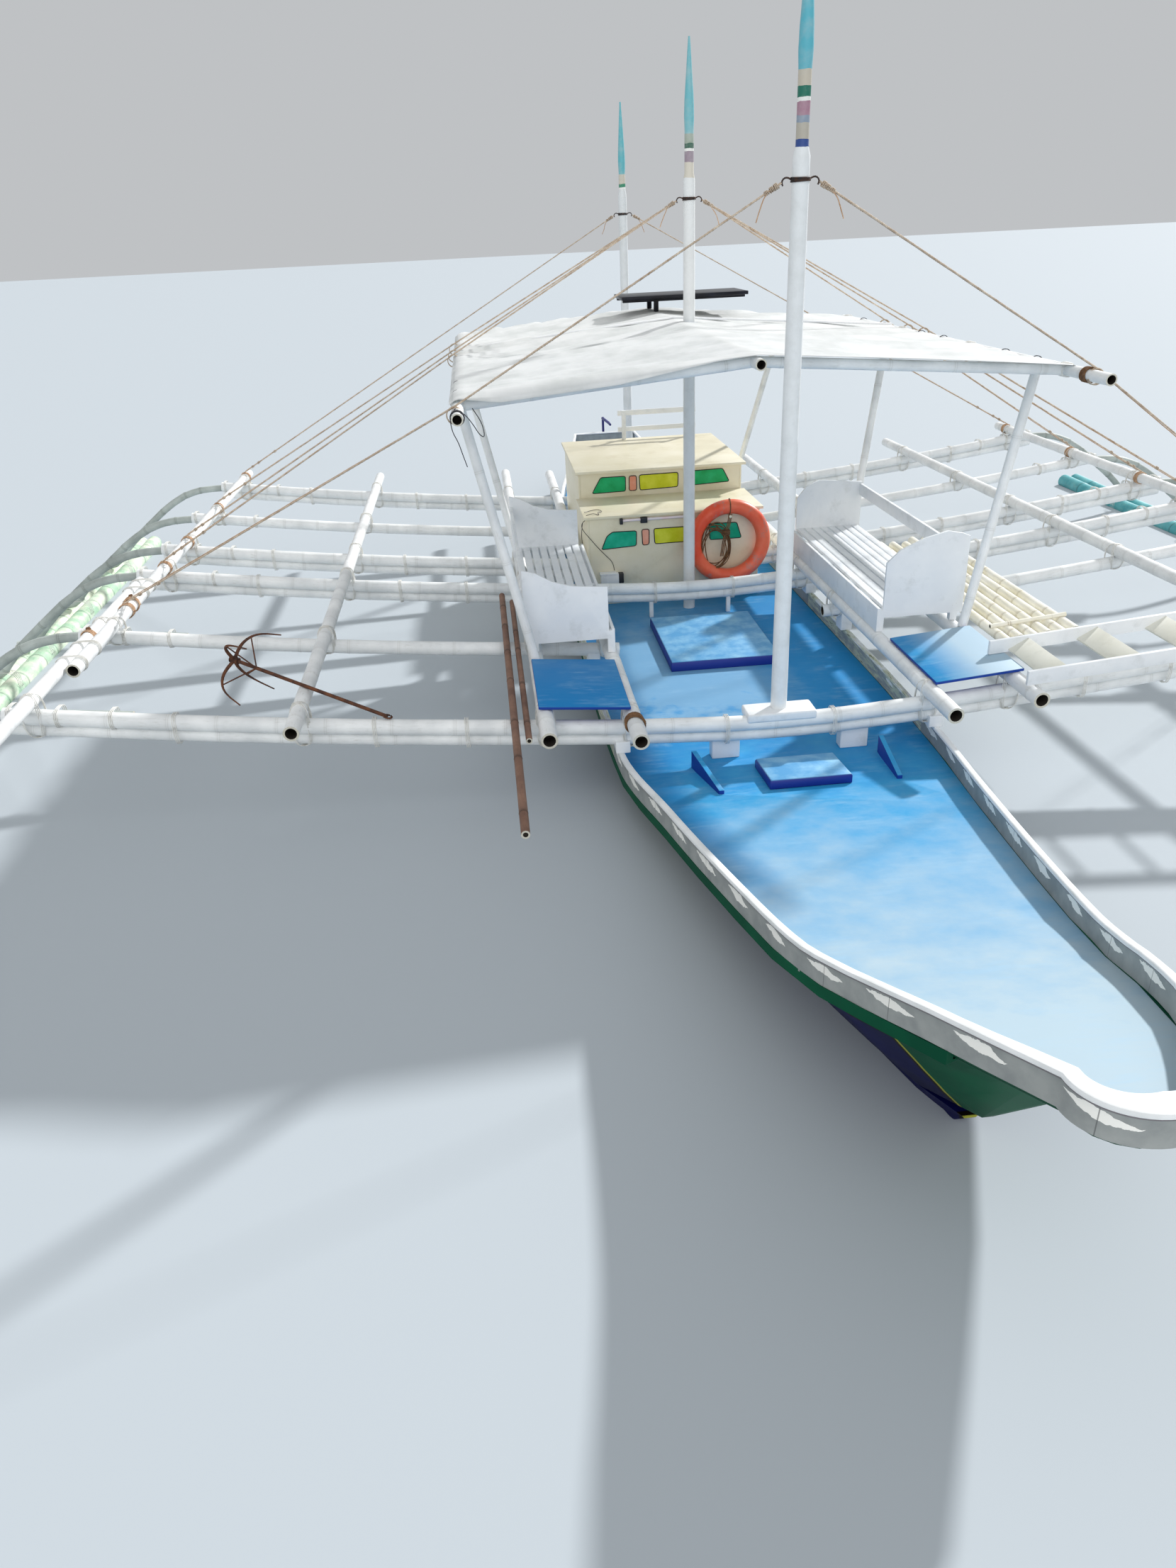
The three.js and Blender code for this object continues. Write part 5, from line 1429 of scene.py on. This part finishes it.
def buildRingLine(look):
    cx, cy, cz = ringLook["centre"]
    dice = random.Random(look["seed"])
    runs = []
    for turn in range(look["turns"]):
        dx, dz = dice.uniform(-0.022, 0.022), dice.uniform(-0.03, 0.02)
        sx, sz = look["half"][0] * dice.uniform(0.82, 1.08), look["half"][1] * dice.uniform(0.85, 1.08)
        lean, phase = dice.uniform(-0.25, 0.25), dice.uniform(0, 6)
        midX, midZ = cx + look["middle"][0] + dx, cz + look["middle"][1] + dz
        path = []
        for a in evenAngles(40):
            x, z = sx * math.cos(a), sz * math.sin(a) * (1 - 0.12 * math.cos(a))
            x, z = x * math.cos(lean) - z * math.sin(lean), x * math.sin(lean) + z * math.cos(lean)
            wave = 0.006 * math.sin(3 * a + phase)
            deep = look["front"] + 0.004 * turn + 0.008 * math.sin(2 * a + phase)
            path.append((midX + x + wave, cy + deep, midZ + z + wave))
        runs.append((path, look["radius"], True))
    # The bights hang from the peg that carries the ring, bound by four turns.
    peg = (cx, cy - ringLook["tube"] * 0.4, cz + ringLook["reach"] - ringLook["tube"] + 0.005)
    for shift in (-0.012, 0.0, 0.012):
        bight = [(cx + x + shift, cy + y, cz + z) for x, y, z in look["bight"]]
        runs.append(([(peg[0] + shift, peg[1] - 0.02, peg[2]), *bight], look["radius"]))
    turns = [(math.cos(a), math.sin(a)) for a in evenAngles(16)]
    for i in range(4):
        z = cz + 0.075 + 0.011 * i
        path = [(cx - 0.035 + 0.034 * c, cy - 0.036 + 0.02 * s, z + 0.004 * s) for c, s in turns]
        runs.append((path, look["radius"], True))
    # One turn of the same line goes round the shell at the peg.
    r, high = ringLook["tube"] + look["radius"] * 0.8, cz + ringLook["reach"]
    turns = [(math.cos(a), math.sin(a)) for a in evenAngles(24)]
    runs.append(([(cx + 0.004 * s, cy + r * s, high + r * c) for c, s in turns], look["radius"], True))
    piece = rope("life_ring_line", runs, brownRope, {"Step": 0.008, "Lay": 0.035, "Strand depth": 0.14})
    settle(piece)


buildRingLine(coilLook)


# Stays: ropes from the mast hooks over the canopy's edges to the outer poles.
stayLook = {
    "radius": 0.0065, "fall": 0.0042, "fallOff": (0.02, 0.09), "hookReach": 0.098, "footX": 4.36,
    # Mast, its y, height of its hooks, y of the stays' feet, then x, height and y of the turn over
    # the eave. With no y, a stay runs straight from its mast to its foot.
    "rows": [
        ("front", 0.05, 3.468, (1.7,), (1.848, 2.452, 0.25)),
        ("middle", 3.1, 3.455, (2.8, 3.6, 4.9), (1.88, 2.465, None)),
        ("aft", 6.98, 3.4, (6.4,), None),
    ],
    "headRadius": 0.044, "twine": 0.004, "iron": 0.0048, "tailX": 4.37,
    "sheaf": (0.876, -0.482),  # way out and down of a mast's stays where it has three on a side
    # The hook: out from the mast and up. Hitches below it: how far along the stay, radius.
    "hook": [(0.046, 0), (0.07, 0.012), (0.09, 0.006), (0.098, -0.012), (0.09, -0.026)],
    "hitches": ((0.03, 0.014), (0.055, 0.012), (0.085, 0.010)), "footHitches": (0.12, 0.2, 0.42),
}


# Closed turns side by side round an axis.
def ringOfTurns(centre, axis, reach, radius, turns, pitch):
    axis = Vector(axis).normalized()
    guide = Vector((0, 0, 1)) if abs(axis.z) < 0.9 else Vector((1, 0, 0))
    across = axis.cross(guide).normalized()
    up = across.cross(axis)
    runs = []
    for t in range(turns):
        middle = Vector(centre) + axis * (t - (turns - 1) / 2) * pitch
        path = []
        for a in evenAngles(18):
            skew = axis * 0.25 * pitch * math.sin(a + t)
            path.append(middle + (across * math.cos(a) + up * math.sin(a)) * reach + skew)
        runs.append((path, radius, True))
    return runs


# A short free end that droops, with a few small kinks.
def looseTail(start, lean, length, radius, dice):
    x, y, z = start
    path = [Vector(start)]
    for t in (0.2, 0.4, 0.6, 0.8, 1.0):
        kink, fall = dice.uniform(-0.006, 0.006), length * t ** 1.6 * 0.9
        path.append(Vector((x + lean[0] * t * length + kink, y + lean[1] * t * length, z - fall)))
    return (rounded(path), radius)


def buildStays(look):
    dice = random.Random(11)
    thread = look["twine"]
    for mast, y, hooks, feet, turn in look["rows"]:
        ropes, falls, knots, ends = [], [], [], []
        iron = ringOfTurns((0, y, hooks), (0, 0, 1), look["headRadius"] + 0.004, 0.0045, 3, 0.007)
        for side in (-1, 1):
            hook = [(side * x, y, hooks + z) for x, z in look["hook"]]
            iron.append((rounded(hook), look["iron"]))
            head = Vector((side * look["hookReach"], y, hooks - 0.012))
            for footY in feet:
                pole = (side * outerX, footY, restingOn(outerX, outerRadius))
                foot = Vector((side * look["footX"], footY, pole[2] + outerRadius + 0.0063))
                path = [head, foot]
                if turn:
                    turnY = turn[2] if turn[2] is not None else y + (footY - y) * turn[0] / look["footX"]
                    over = Vector((side * turn[0], turnY, turn[1]))
                    path.insert(1, over)
                    knots += ringOfTurns(over - Vector((0, 0, 0.045)), (0, 1, 0), 0.045, thread, 3, 0.012)
                ropes.append((path, look["radius"]))
                # Each stay has a second, thinner part that runs beside it to the pole.
                off, footOff = [Vector((0, shift, 0)) for shift in look["fallOff"]]
                beside = [*[point + off for point in path[:-1]], foot + footOff]
                falls.append((beside, look["fall"]))
                ends += ringOfTurns(pole, (0, 1, 0), 0.0515, thread + 0.001, 5, 0.0115)
                start = (side * look["tailX"], footY + 0.03, pole[2] + 0.05)
                ends.append(looseTail(start, (side * 0.5, 0.4), 0.14, thread, dice))
                # The fall comes back along the stay and is hitched to it.
                toward = (path[-2] - foot).normalized()
                for reach in look["footHitches"]:
                    knots += ringOfTurns(foot + toward * reach, toward, 0.011, thread, 3, 0.009)
            # Hitches under the hook follow the stay, or the sheaf of three.
            out, down = look["sheaf"]
            toward = ((over if turn else foot) - head).normalized()
            toward = Vector((side * out, 0.0, down)) if len(feet) > 1 else toward
            for reach, size in look["hitches"]:
                knots += ringOfTurns(head + toward * reach, toward, size, thread, 3, 0.008)
            ends.append(looseTail(head + toward * 0.06, (side * 0.5, -0.1), 0.16, thread, dice))
        parts = [
            rope("ropes", ropes, paleRope, {"Step": 0.012, "Lay": 0.05, "Strand depth": 0.16}),
            rope("falls", falls, tanRope, {"Step": 0.014, "Lay": 0.04, "Sides": 6}),
            rope("knots", knots, paleRope, {"Step": 0.006, "Lay": 0.03, "Sides": 7}),
            rope("ends", ends, tanRope, {"Step": 0.008, "Lay": 0.03, "Sides": 7}),
            rope("iron", iron, hookIron, {"Step": 0.008, "Strand depth": 0.0, "Sides": 8}),
        ]
        settle(joinPieces("stays_" + mast + "_rigging", parts), ["stays_" + mast])


buildStays(stayLook)
print("stays rigged")


# Lashings: closed turns of line round whatever crosses or lies together.
lashLook = {
    "line": 0.0028, "spread": 0.0095, "turns": 3, "points": 20, "crossHalf": 0.073, "crossAft": 0.012,
    # How square the turns are round their corners: 2 is an oval.
    "cross": 2.7, "pair": 3.0, "arm": 3.0, "toe": 3.4, "outer": 3.2, "eave": 2.2,
    # Where the two poles of a beam are bound: x, then how far aft of the beam and how wide.
    "pairXs": (0.34, 1.95, 2.5, 3.65), "pairAft": 0.0125, "pairHalf": 0.064,
    # The arm beside its beam, and its toe down on the float.
    "armXs": (4.0, 4.3, 4.56), "armAft": 0.034, "armHalf": 0.083, "armLow": 0.105, "armHigh": 0.003,
    "toeX": floatLook["x"], "toeAft": 0.062,
    "toeHalf": 0.1572, "toeLow": -0.07, "toeHigh": 0.181, "toePitch": 0.026,
    # The outer poles to each other, and the rafters to the eaves.
    "outerYs": (0.62, 0.9, 2.1, 2.3), "outerX": 4.393, "outerHalf": 0.094,
    "eaveHalf": 0.041, "eaveLow": 2.372, "eaveHigh": 2.4535, "eavePitch": 0.02,
}


# One turn in a plane that stands along a direction. Its power squares its corners.
def lashTurn(centre, direction, half, low, high, power, look):
    direction = Vector(direction).normalized()
    middle, tall = (low + high) / 2, (high - low) / 2
    path = []
    for a in evenAngles(look["points"]):
        c, s = math.cos(a), math.sin(a)
        reach = math.copysign(abs(c) ** (2 / power), c) * half
        rise = math.copysign(abs(s) ** (2 / power), s) * tall
        path.append(Vector((centre[0], centre[1], middle + rise)) + direction * reach)
    return (path, look["line"], True)


# Turns along x or y, side by side at a pitch that is given in x and y.
def lashTurns(centre, pitch, turns, *shape):
    shifts = [t - (turns - 1) / 2 for t in range(turns)]
    direction = (0, 1, 0) if pitch[0] else (1, 0, 0)
    return [lashTurn((centre[0] + s * pitch[0], centre[1] + s * pitch[1]), direction, *shape) for s in shifts]


# Two crossing sets of turns over the long pole and under the beam.
def crossLashing(x, y, radius, poles, look):
    line = look["line"]
    high = restingOn(x, radius) + radius + line
    under = beamLook["radius"] if poles == 1 else beamLook["lowerDrop"] + beamLook["lowerRadius"]
    low = crownTop(x) - beamLook["radius"] - under - line
    runs = []
    for lean in (1, -1):
        direction = Vector((1, lean, 0)).normalized()
        side = Vector((-direction.y, direction.x, 0))
        for t in range(look["turns"]):
            shift = side * (t - (look["turns"] - 1) / 2) * look["spread"]
            spot = (x + shift.x, y + shift.y + (look["crossAft"] if poles > 1 else 0))
            runs.append(lashTurn(spot, direction, look["crossHalf"], low, high, look["cross"], look))
    return runs


def buildLashings(look):
    runs, line, spread = [], look["line"], look["spread"]
    for name, y, poles, sides in beamLook["rows"]:
        for side in sides:
            along = (y - midFrom) / (midTo - midFrom)
            mid = midX if side < 0 else midBowX + (midSternX - midBowX) * along
            crossings = [(innerX, longRadius), (sideX, longRadius), (mid, midRadius)]
            if y > 0.5:
                crossings.append((outerX, outerRadius))
            if y < 2.4:
                crossings.append((aheadX, aheadRadius))
            for x, radius in crossings:
                runs += crossLashing(side * x, y, radius, poles, look)
            for x in look["pairXs"] if poles > 1 else ():
                top = crownTop(x)
                low = top - beamLook["radius"] - beamLook["lowerDrop"] - beamLook["lowerRadius"] - line
                shape = (look["pairHalf"], low, top + line, look["pair"], look)
                runs += lashTurns((side * x, y + look["pairAft"]), (spread, 0), 3, *shape)
            for x in look["armXs"]:
                top = crownTop(x)
                shape = (look["armHalf"], top - look["armLow"], top + look["armHigh"], look["arm"], look)
                runs += lashTurns((side * x, y + look["armAft"]), (spread, 0), 3, *shape)
            shape = (look["toeHalf"], look["toeLow"], look["toeHigh"], look["toe"], look)
            runs += lashTurns((side * look["toeX"], y + look["toeAft"]), (0, look["toePitch"]), 4, *shape)
    for side in (-1, 1):
        z = restingOn(4.39, 0.045)
        for y in look["outerYs"]:
            shape = (look["outerHalf"], z - 0.05, z + 0.052, look["outer"], look)
            runs += lashTurns((side * look["outerX"], y), (0, spread), 4, *shape)
        x = side * roofLook["eaveX"] - side * 0.004
        for y, radius in roofLook["rafters"]:
            shape = (look["eaveHalf"], look["eaveLow"], look["eaveHigh"], look["eave"], look)
            runs += lashTurns((x, y), (0, look["eavePitch"]), 4, *shape)
    thread = {"Step": 0.02, "Lay": 0.02, "Sides": 5, "Strand depth": 0.0}
    settle(rope("pole_lashings", runs, lashingTwine, thread))


buildLashings(lashLook)
print("lashings tied")


# Odd ties: brown turns on a pole's end, coloured knots on the outer pole, cords on the eaves
# and black wires that hang in loops at the canopy's front corner.
tieLook = {
    "brown": 0.006, "knot": 0.0055, "wire": 0.0028,
    # Outer pole's knots: y, turns, skew.
    "knots": [(1.12, 4, 0.3), (1.83, 5, -0.2)],
    "eaveTies": (0.95, 1.4, 2.45, 2.9, 3.75, 4.3),
    "wires": [
        [
            (-1.838, 0.16, 2.455), (-1.875, 0.17, 2.42), (-1.87, 0.2, 2.33), (-1.842, 0.22, 2.27),
            (-1.825, 0.24, 2.2), (-1.805, 0.28, 2.12),
        ], [
            (-1.83, 0.1, 2.45), (-1.79, 0.12, 2.43), (-1.75, 0.2, 2.36), (-1.72, 0.34, 2.28),
            (-1.69, 0.42, 2.25), (-1.7, 0.5, 2.32), (-1.75, 0.53, 2.4),
        ],
    ],
}


def buildTies(look):
    dice = random.Random(23)
    fore, eave = (0, 1, 0), roofLook["eaveZ"]
    pole = (-innerX, -0.16, restingOn(innerX, longRadius))
    brown = ringOfTurns(pole, fore, longRadius + look["brown"] * 0.8, look["brown"], 5, 0.013)
    brown += ringOfTurns((pole[0], -0.19, pole[2]), (0.25, 1, 0.1), 0.061, look["brown"], 2, 0.014)
    tan, black = [], []
    for y, turns, skew in look["knots"]:
        x, z = -aheadX if y < 1.5 else -outerX, restingOn(4.4, 0.045)
        tan += ringOfTurns((x, y, z), (skew, 1, 0), 0.052, look["knot"], turns, 0.012)
        brown += ringOfTurns((x, y + 0.02, z + 0.052), (1, 0, 0.2), 0.013, look["knot"], 3, 0.01)
        for side in (-1, 1):
            tan.append(looseTail((x, y, z + 0.06), (side * 0.6, 0.5), 0.09, 0.004, dice))
    for side in (-1, 1):
        x = side * roofLook["eaveX"]
        for y in look["eaveTies"]:
            black += ringOfTurns((x, y, eave), fore, 0.0415, 0.0022, 3, 0.006)
            start = (x + side * 0.044, y, eave - 0.01)
            black.append(looseTail(start, (side * 0.2, 0.3), 0.05, 0.0018, dice))
    brown += ringOfTurns((roofLook["eaveX"], 0.3, eave), fore, 0.041, look["brown"], 5, 0.012)
    black += ringOfTurns((-roofLook["eaveX"], 0.12, eave), fore, 0.0385, 0.0035, 4, 0.009)
    black += [(rounded(path, 3), look["wire"]) for path in look["wires"]]
    tied = [
        rope("brown", brown, brownRope, {"Step": 0.008, "Lay": 0.03, "Sides": 8}),
        rope("tan", tan, tanRope, {"Step": 0.008, "Lay": 0.03, "Sides": 8}),
        rope("black", black, darkRope, {"Step": 0.008, "Strand depth": 0.0, "Sides": 6}),
    ]
    settle(joinPieces("odd_ties", tied))


buildTies(tieLook)


# Deckhouse panes, their dark outlines, the lamp and its wiring on the lower front.
paneLook = {
    "line": 0.0045, "thick": 0.004,
    # Front face's y, paint, outline from the lower left, turning anticlockwise: x, z.
    "rows": [
        (3.35, "teal", [(-0.74, 0.75), (-0.43, 0.765), (-0.425, 0.897), (-0.64, 0.9), (-0.69, 0.865)]),
        (3.35, "pink", [(-0.372, 0.765), (-0.315, 0.768), (-0.312, 0.905), (-0.378, 0.905)]),
        (3.35, "yellow", [(-0.262, 0.77), (0.01, 0.772), (0.012, 0.905), (-0.27, 0.905)]),
        (3.35, "teal", [(0.235, 0.772), (0.52, 0.772), (0.475, 0.912), (0.225, 0.915)]),
        (4.08, "green", [(-0.735, 1.085), (-0.42, 1.09), (-0.418, 1.225), (-0.65, 1.227)]),
        (4.08, "pink", [(-0.385, 1.09), (-0.315, 1.092), (-0.315, 1.225), (-0.383, 1.225)]),
        (4.08, "yellow", [(-0.283, 1.09), (0.075, 1.1), (0.078, 1.23), (-0.288, 1.228)]),
        (4.08, "green", [(0.225, 1.105), (0.565, 1.118), (0.5, 1.24), (0.205, 1.235)]),
    ],
}


# Rounds each corner of a closed outline.
def roundOff(points, reach=0.018, steps=4):
    path = []
    for i, corner in enumerate(points):
        here = Vector(corner)
        before, after = Vector(points[i - 1]), Vector(points[(i + 1) % len(points)])
        start = here + (before - here).normalized() * reach
        end = here + (after - here).normalized() * reach
        for s in range(steps + 1):
            t = s / steps
            path.append(start.lerp(here, t).lerp(here.lerp(end, t), t))
    return path


def buildPanes(look):
    parts, beads = [], []
    for y, paint, outline in look["rows"]:
        path = roundOff(outline)
        parts.append(prism("pane", [tuple(p) for p in path], y - look["thick"], y + 0.001, panePaints[paint]))
        beads.append(([(p.x, y - look["thick"], p.y) for p in path], look["line"], True))
    outline = rope("outlines", beads, bracketEnamel, {"Step": 0.01, "Strand depth": 0.0, "Sides": 6})
    settle(joinPieces("house_panes", [*parts, outline]))


buildPanes(paneLook)

lampLook = {"y": 3.334, "z": 0.998, "from": -0.56, "to": 0.06, "radius": 0.012}


def buildLamp(look):
    y, z = look["y"], look["z"]
    path = [(look["from"], y, z), (look["to"], y, z)]
    settings = {"Step": 0.05, "Strand depth": 0.0, "Sides": 16}
    parts = [rope("tube", [(path, look["radius"])], lampTube, settings)]
    for x, wide in ((look["from"], 0.014), (look["to"], 0.014), (look["from"] + 0.2, 0.03)):
        low, high = (x - wide, y - 0.018, z - 0.03), (x + wide, y + 0.016, z + 0.019)
        parts.append(block("holder", low, high, bracketEnamel, 0.003))
    settle(joinPieces("shelf_lamp", parts))


buildLamp(lampLook)

wireLook = {
    "radius": 0.003, "y": 3.346,
    # Down the lower front: x, z. On the shelf: x, y.
    "front": [
        [(-0.856, 1.03), (-0.9, 1.005), (-0.912, 0.97), (-0.898, 0.93), (-0.84, 0.855), (-0.765, 0.76),
         (-0.7, 0.69), (-0.645, 0.63), (-0.632, 0.555)],
        [(-0.9, 1.0), (-0.915, 0.9), (-0.908, 0.8), (-0.88, 0.72), (-0.86, 0.64)],
    ],
    "shelf": [(-0.86, 3.4), (-0.8, 3.42), (-0.74, 3.37), (-0.76, 3.45), (-0.7, 3.5), (-0.74, 3.56),
              (-0.83, 3.55), (-0.87, 3.47)],
    # The switch box: low corner, high corner, paint, rounding.
    "box": [
        ((-0.76, 3.285, 0.446), (-0.6, 3.349, 0.54), whiteBoardEnamel, 0.006),
        ((-0.6, 3.288, 0.449), (-0.556, 3.349, 0.537), bracketEnamel, 0.005),
        ((-0.768, 3.278, 0.53), (-0.62, 3.349, 0.548), whiteBoardEnamel, 0.004),
    ],
}


def buildWiring(look):
    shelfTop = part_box("house_shelf")[1][2] + look["radius"]
    paths = [[Vector((x, look["y"], z)) for x, z in path] for path in look["front"]]
    paths.append([Vector((x, y, shelfTop + 0.012 * (i % 2))) for i, (x, y) in enumerate(look["shelf"])])
    runs = [(rounded(path), look["radius"]) for path in paths]
    parts = [rope("wires", runs, bracketEnamel, {"Step": 0.012, "Strand depth": 0.0, "Sides": 7})]
    parts += [block("box", *row) for row in look["box"]]
    settle(joinPieces("house_wiring", parts))


buildWiring(wireLook)
print("deckhouse fitted")


# Grapnel with round flukes.
anchorLook = {
    "shank": 0.012, "hub": 0.024, "tip": 0.005, "brace": 0.005, "beyond": 0.84, "tailX": 2.42,
    "lift": 0.0125, "eye": 0.026, "eyeRadius": 0.006,
    "fluke": [(0, 0), (0.12, 0.02), (0.22, -0.04), (0.262, -0.19)],  # out from the shank, and back along it
}


def buildAnchor(look):
    tail = Vector((-look["tailX"], 0.02, crownTop(look["tailX"]) + look["lift"] + 0.0001))
    over = Vector((-midX, 0.26, restingOn(midX, midRadius) + midRadius + look["lift"]))
    hub = over + (over - tail) * look["beyond"]
    along = (hub - tail).normalized()
    side = (Vector((0, 1, 0)) - along * along.y).normalized()
    rise = along.cross(side)
    collar = [hub - along * 0.03, hub + along * 0.025]
    runs = [([tail, hub], look["shank"]), (collar, look["hub"])]
    for turn in evenAngles(4):
        angle = math.pi / 4 + turn
        out = side * math.cos(angle) + rise * math.sin(angle)
        path = rounded([hub + out * reach + along * back for reach, back in look["fluke"]])
        runs.append(([hub - along * 0.16, path[len(path) // 2]], look["brace"]))
        thinning = (look["tip"] - look["shank"]) / (len(path) - 1)
        runs.append((path, [look["shank"] + thinning * k for k in range(len(path))]))
    turns = [side * math.cos(a) + along * math.sin(a) for a in evenAngles(16)]
    runs.append(([tail + turn * look["eye"] - along * 0.002 for turn in turns], look["eyeRadius"], True))
    piece = rope("grapnel", runs, rustedIron, {"Step": 0.012, "Strand depth": 0.0, "Sides": 12})
    settle(piece, ["anchor"])


buildAnchor(anchorLook)
print("grapnel forged")


# Stage: a pale floor at the waterline, the sun from aft of the port beam, a fill from ahead.
stageLook = {
    "floorSize": 320, "floor": "#b9c1c7", "sky": "#f0f3f6", "skyStrength": 0.6, "tone": "Standard",
    # Lamps: strength, tilt and softness in degrees.
    "lamps": {"sun": (3.8, (59, 0, 132), 2.5), "fill": (0.95, (58, 0, -8), 70)},
}


def buildStage(look):
    bpy.ops.mesh.primitive_plane_add(size=look["floorSize"])
    floor = bpy.context.object
    floor.name = "floor"
    finish, add = newFinish("pale_studio_floor")
    paint = {"Base Color": look["floor"], "Roughness": 0.9}
    add("ShaderNodeOutputMaterial", add("ShaderNodeBsdfPrincipled", paint))
    floor.data.materials.append(finish)
    world = bpy.data.worlds.new("studio_air")
    world.use_nodes = True
    air = world.node_tree.nodes["Background"].inputs
    air[0].default_value = fromHex(look["sky"])
    air[1].default_value = look["skyStrength"]
    bpy.context.scene.world = world
    for name, (strength, tilt, softness) in look["lamps"].items():
        light = bpy.data.lights.new(name, "SUN")
        light.energy = strength
        light.angle = math.radians(softness)
        lamp = bpy.data.objects.new(name, light)
        lamp.rotation_euler = [math.radians(a) for a in tilt]
        bpy.context.collection.objects.link(lamp)
    bpy.context.scene.view_settings.view_transform = look["tone"]


buildStage(stageLook)
print("stage lit")
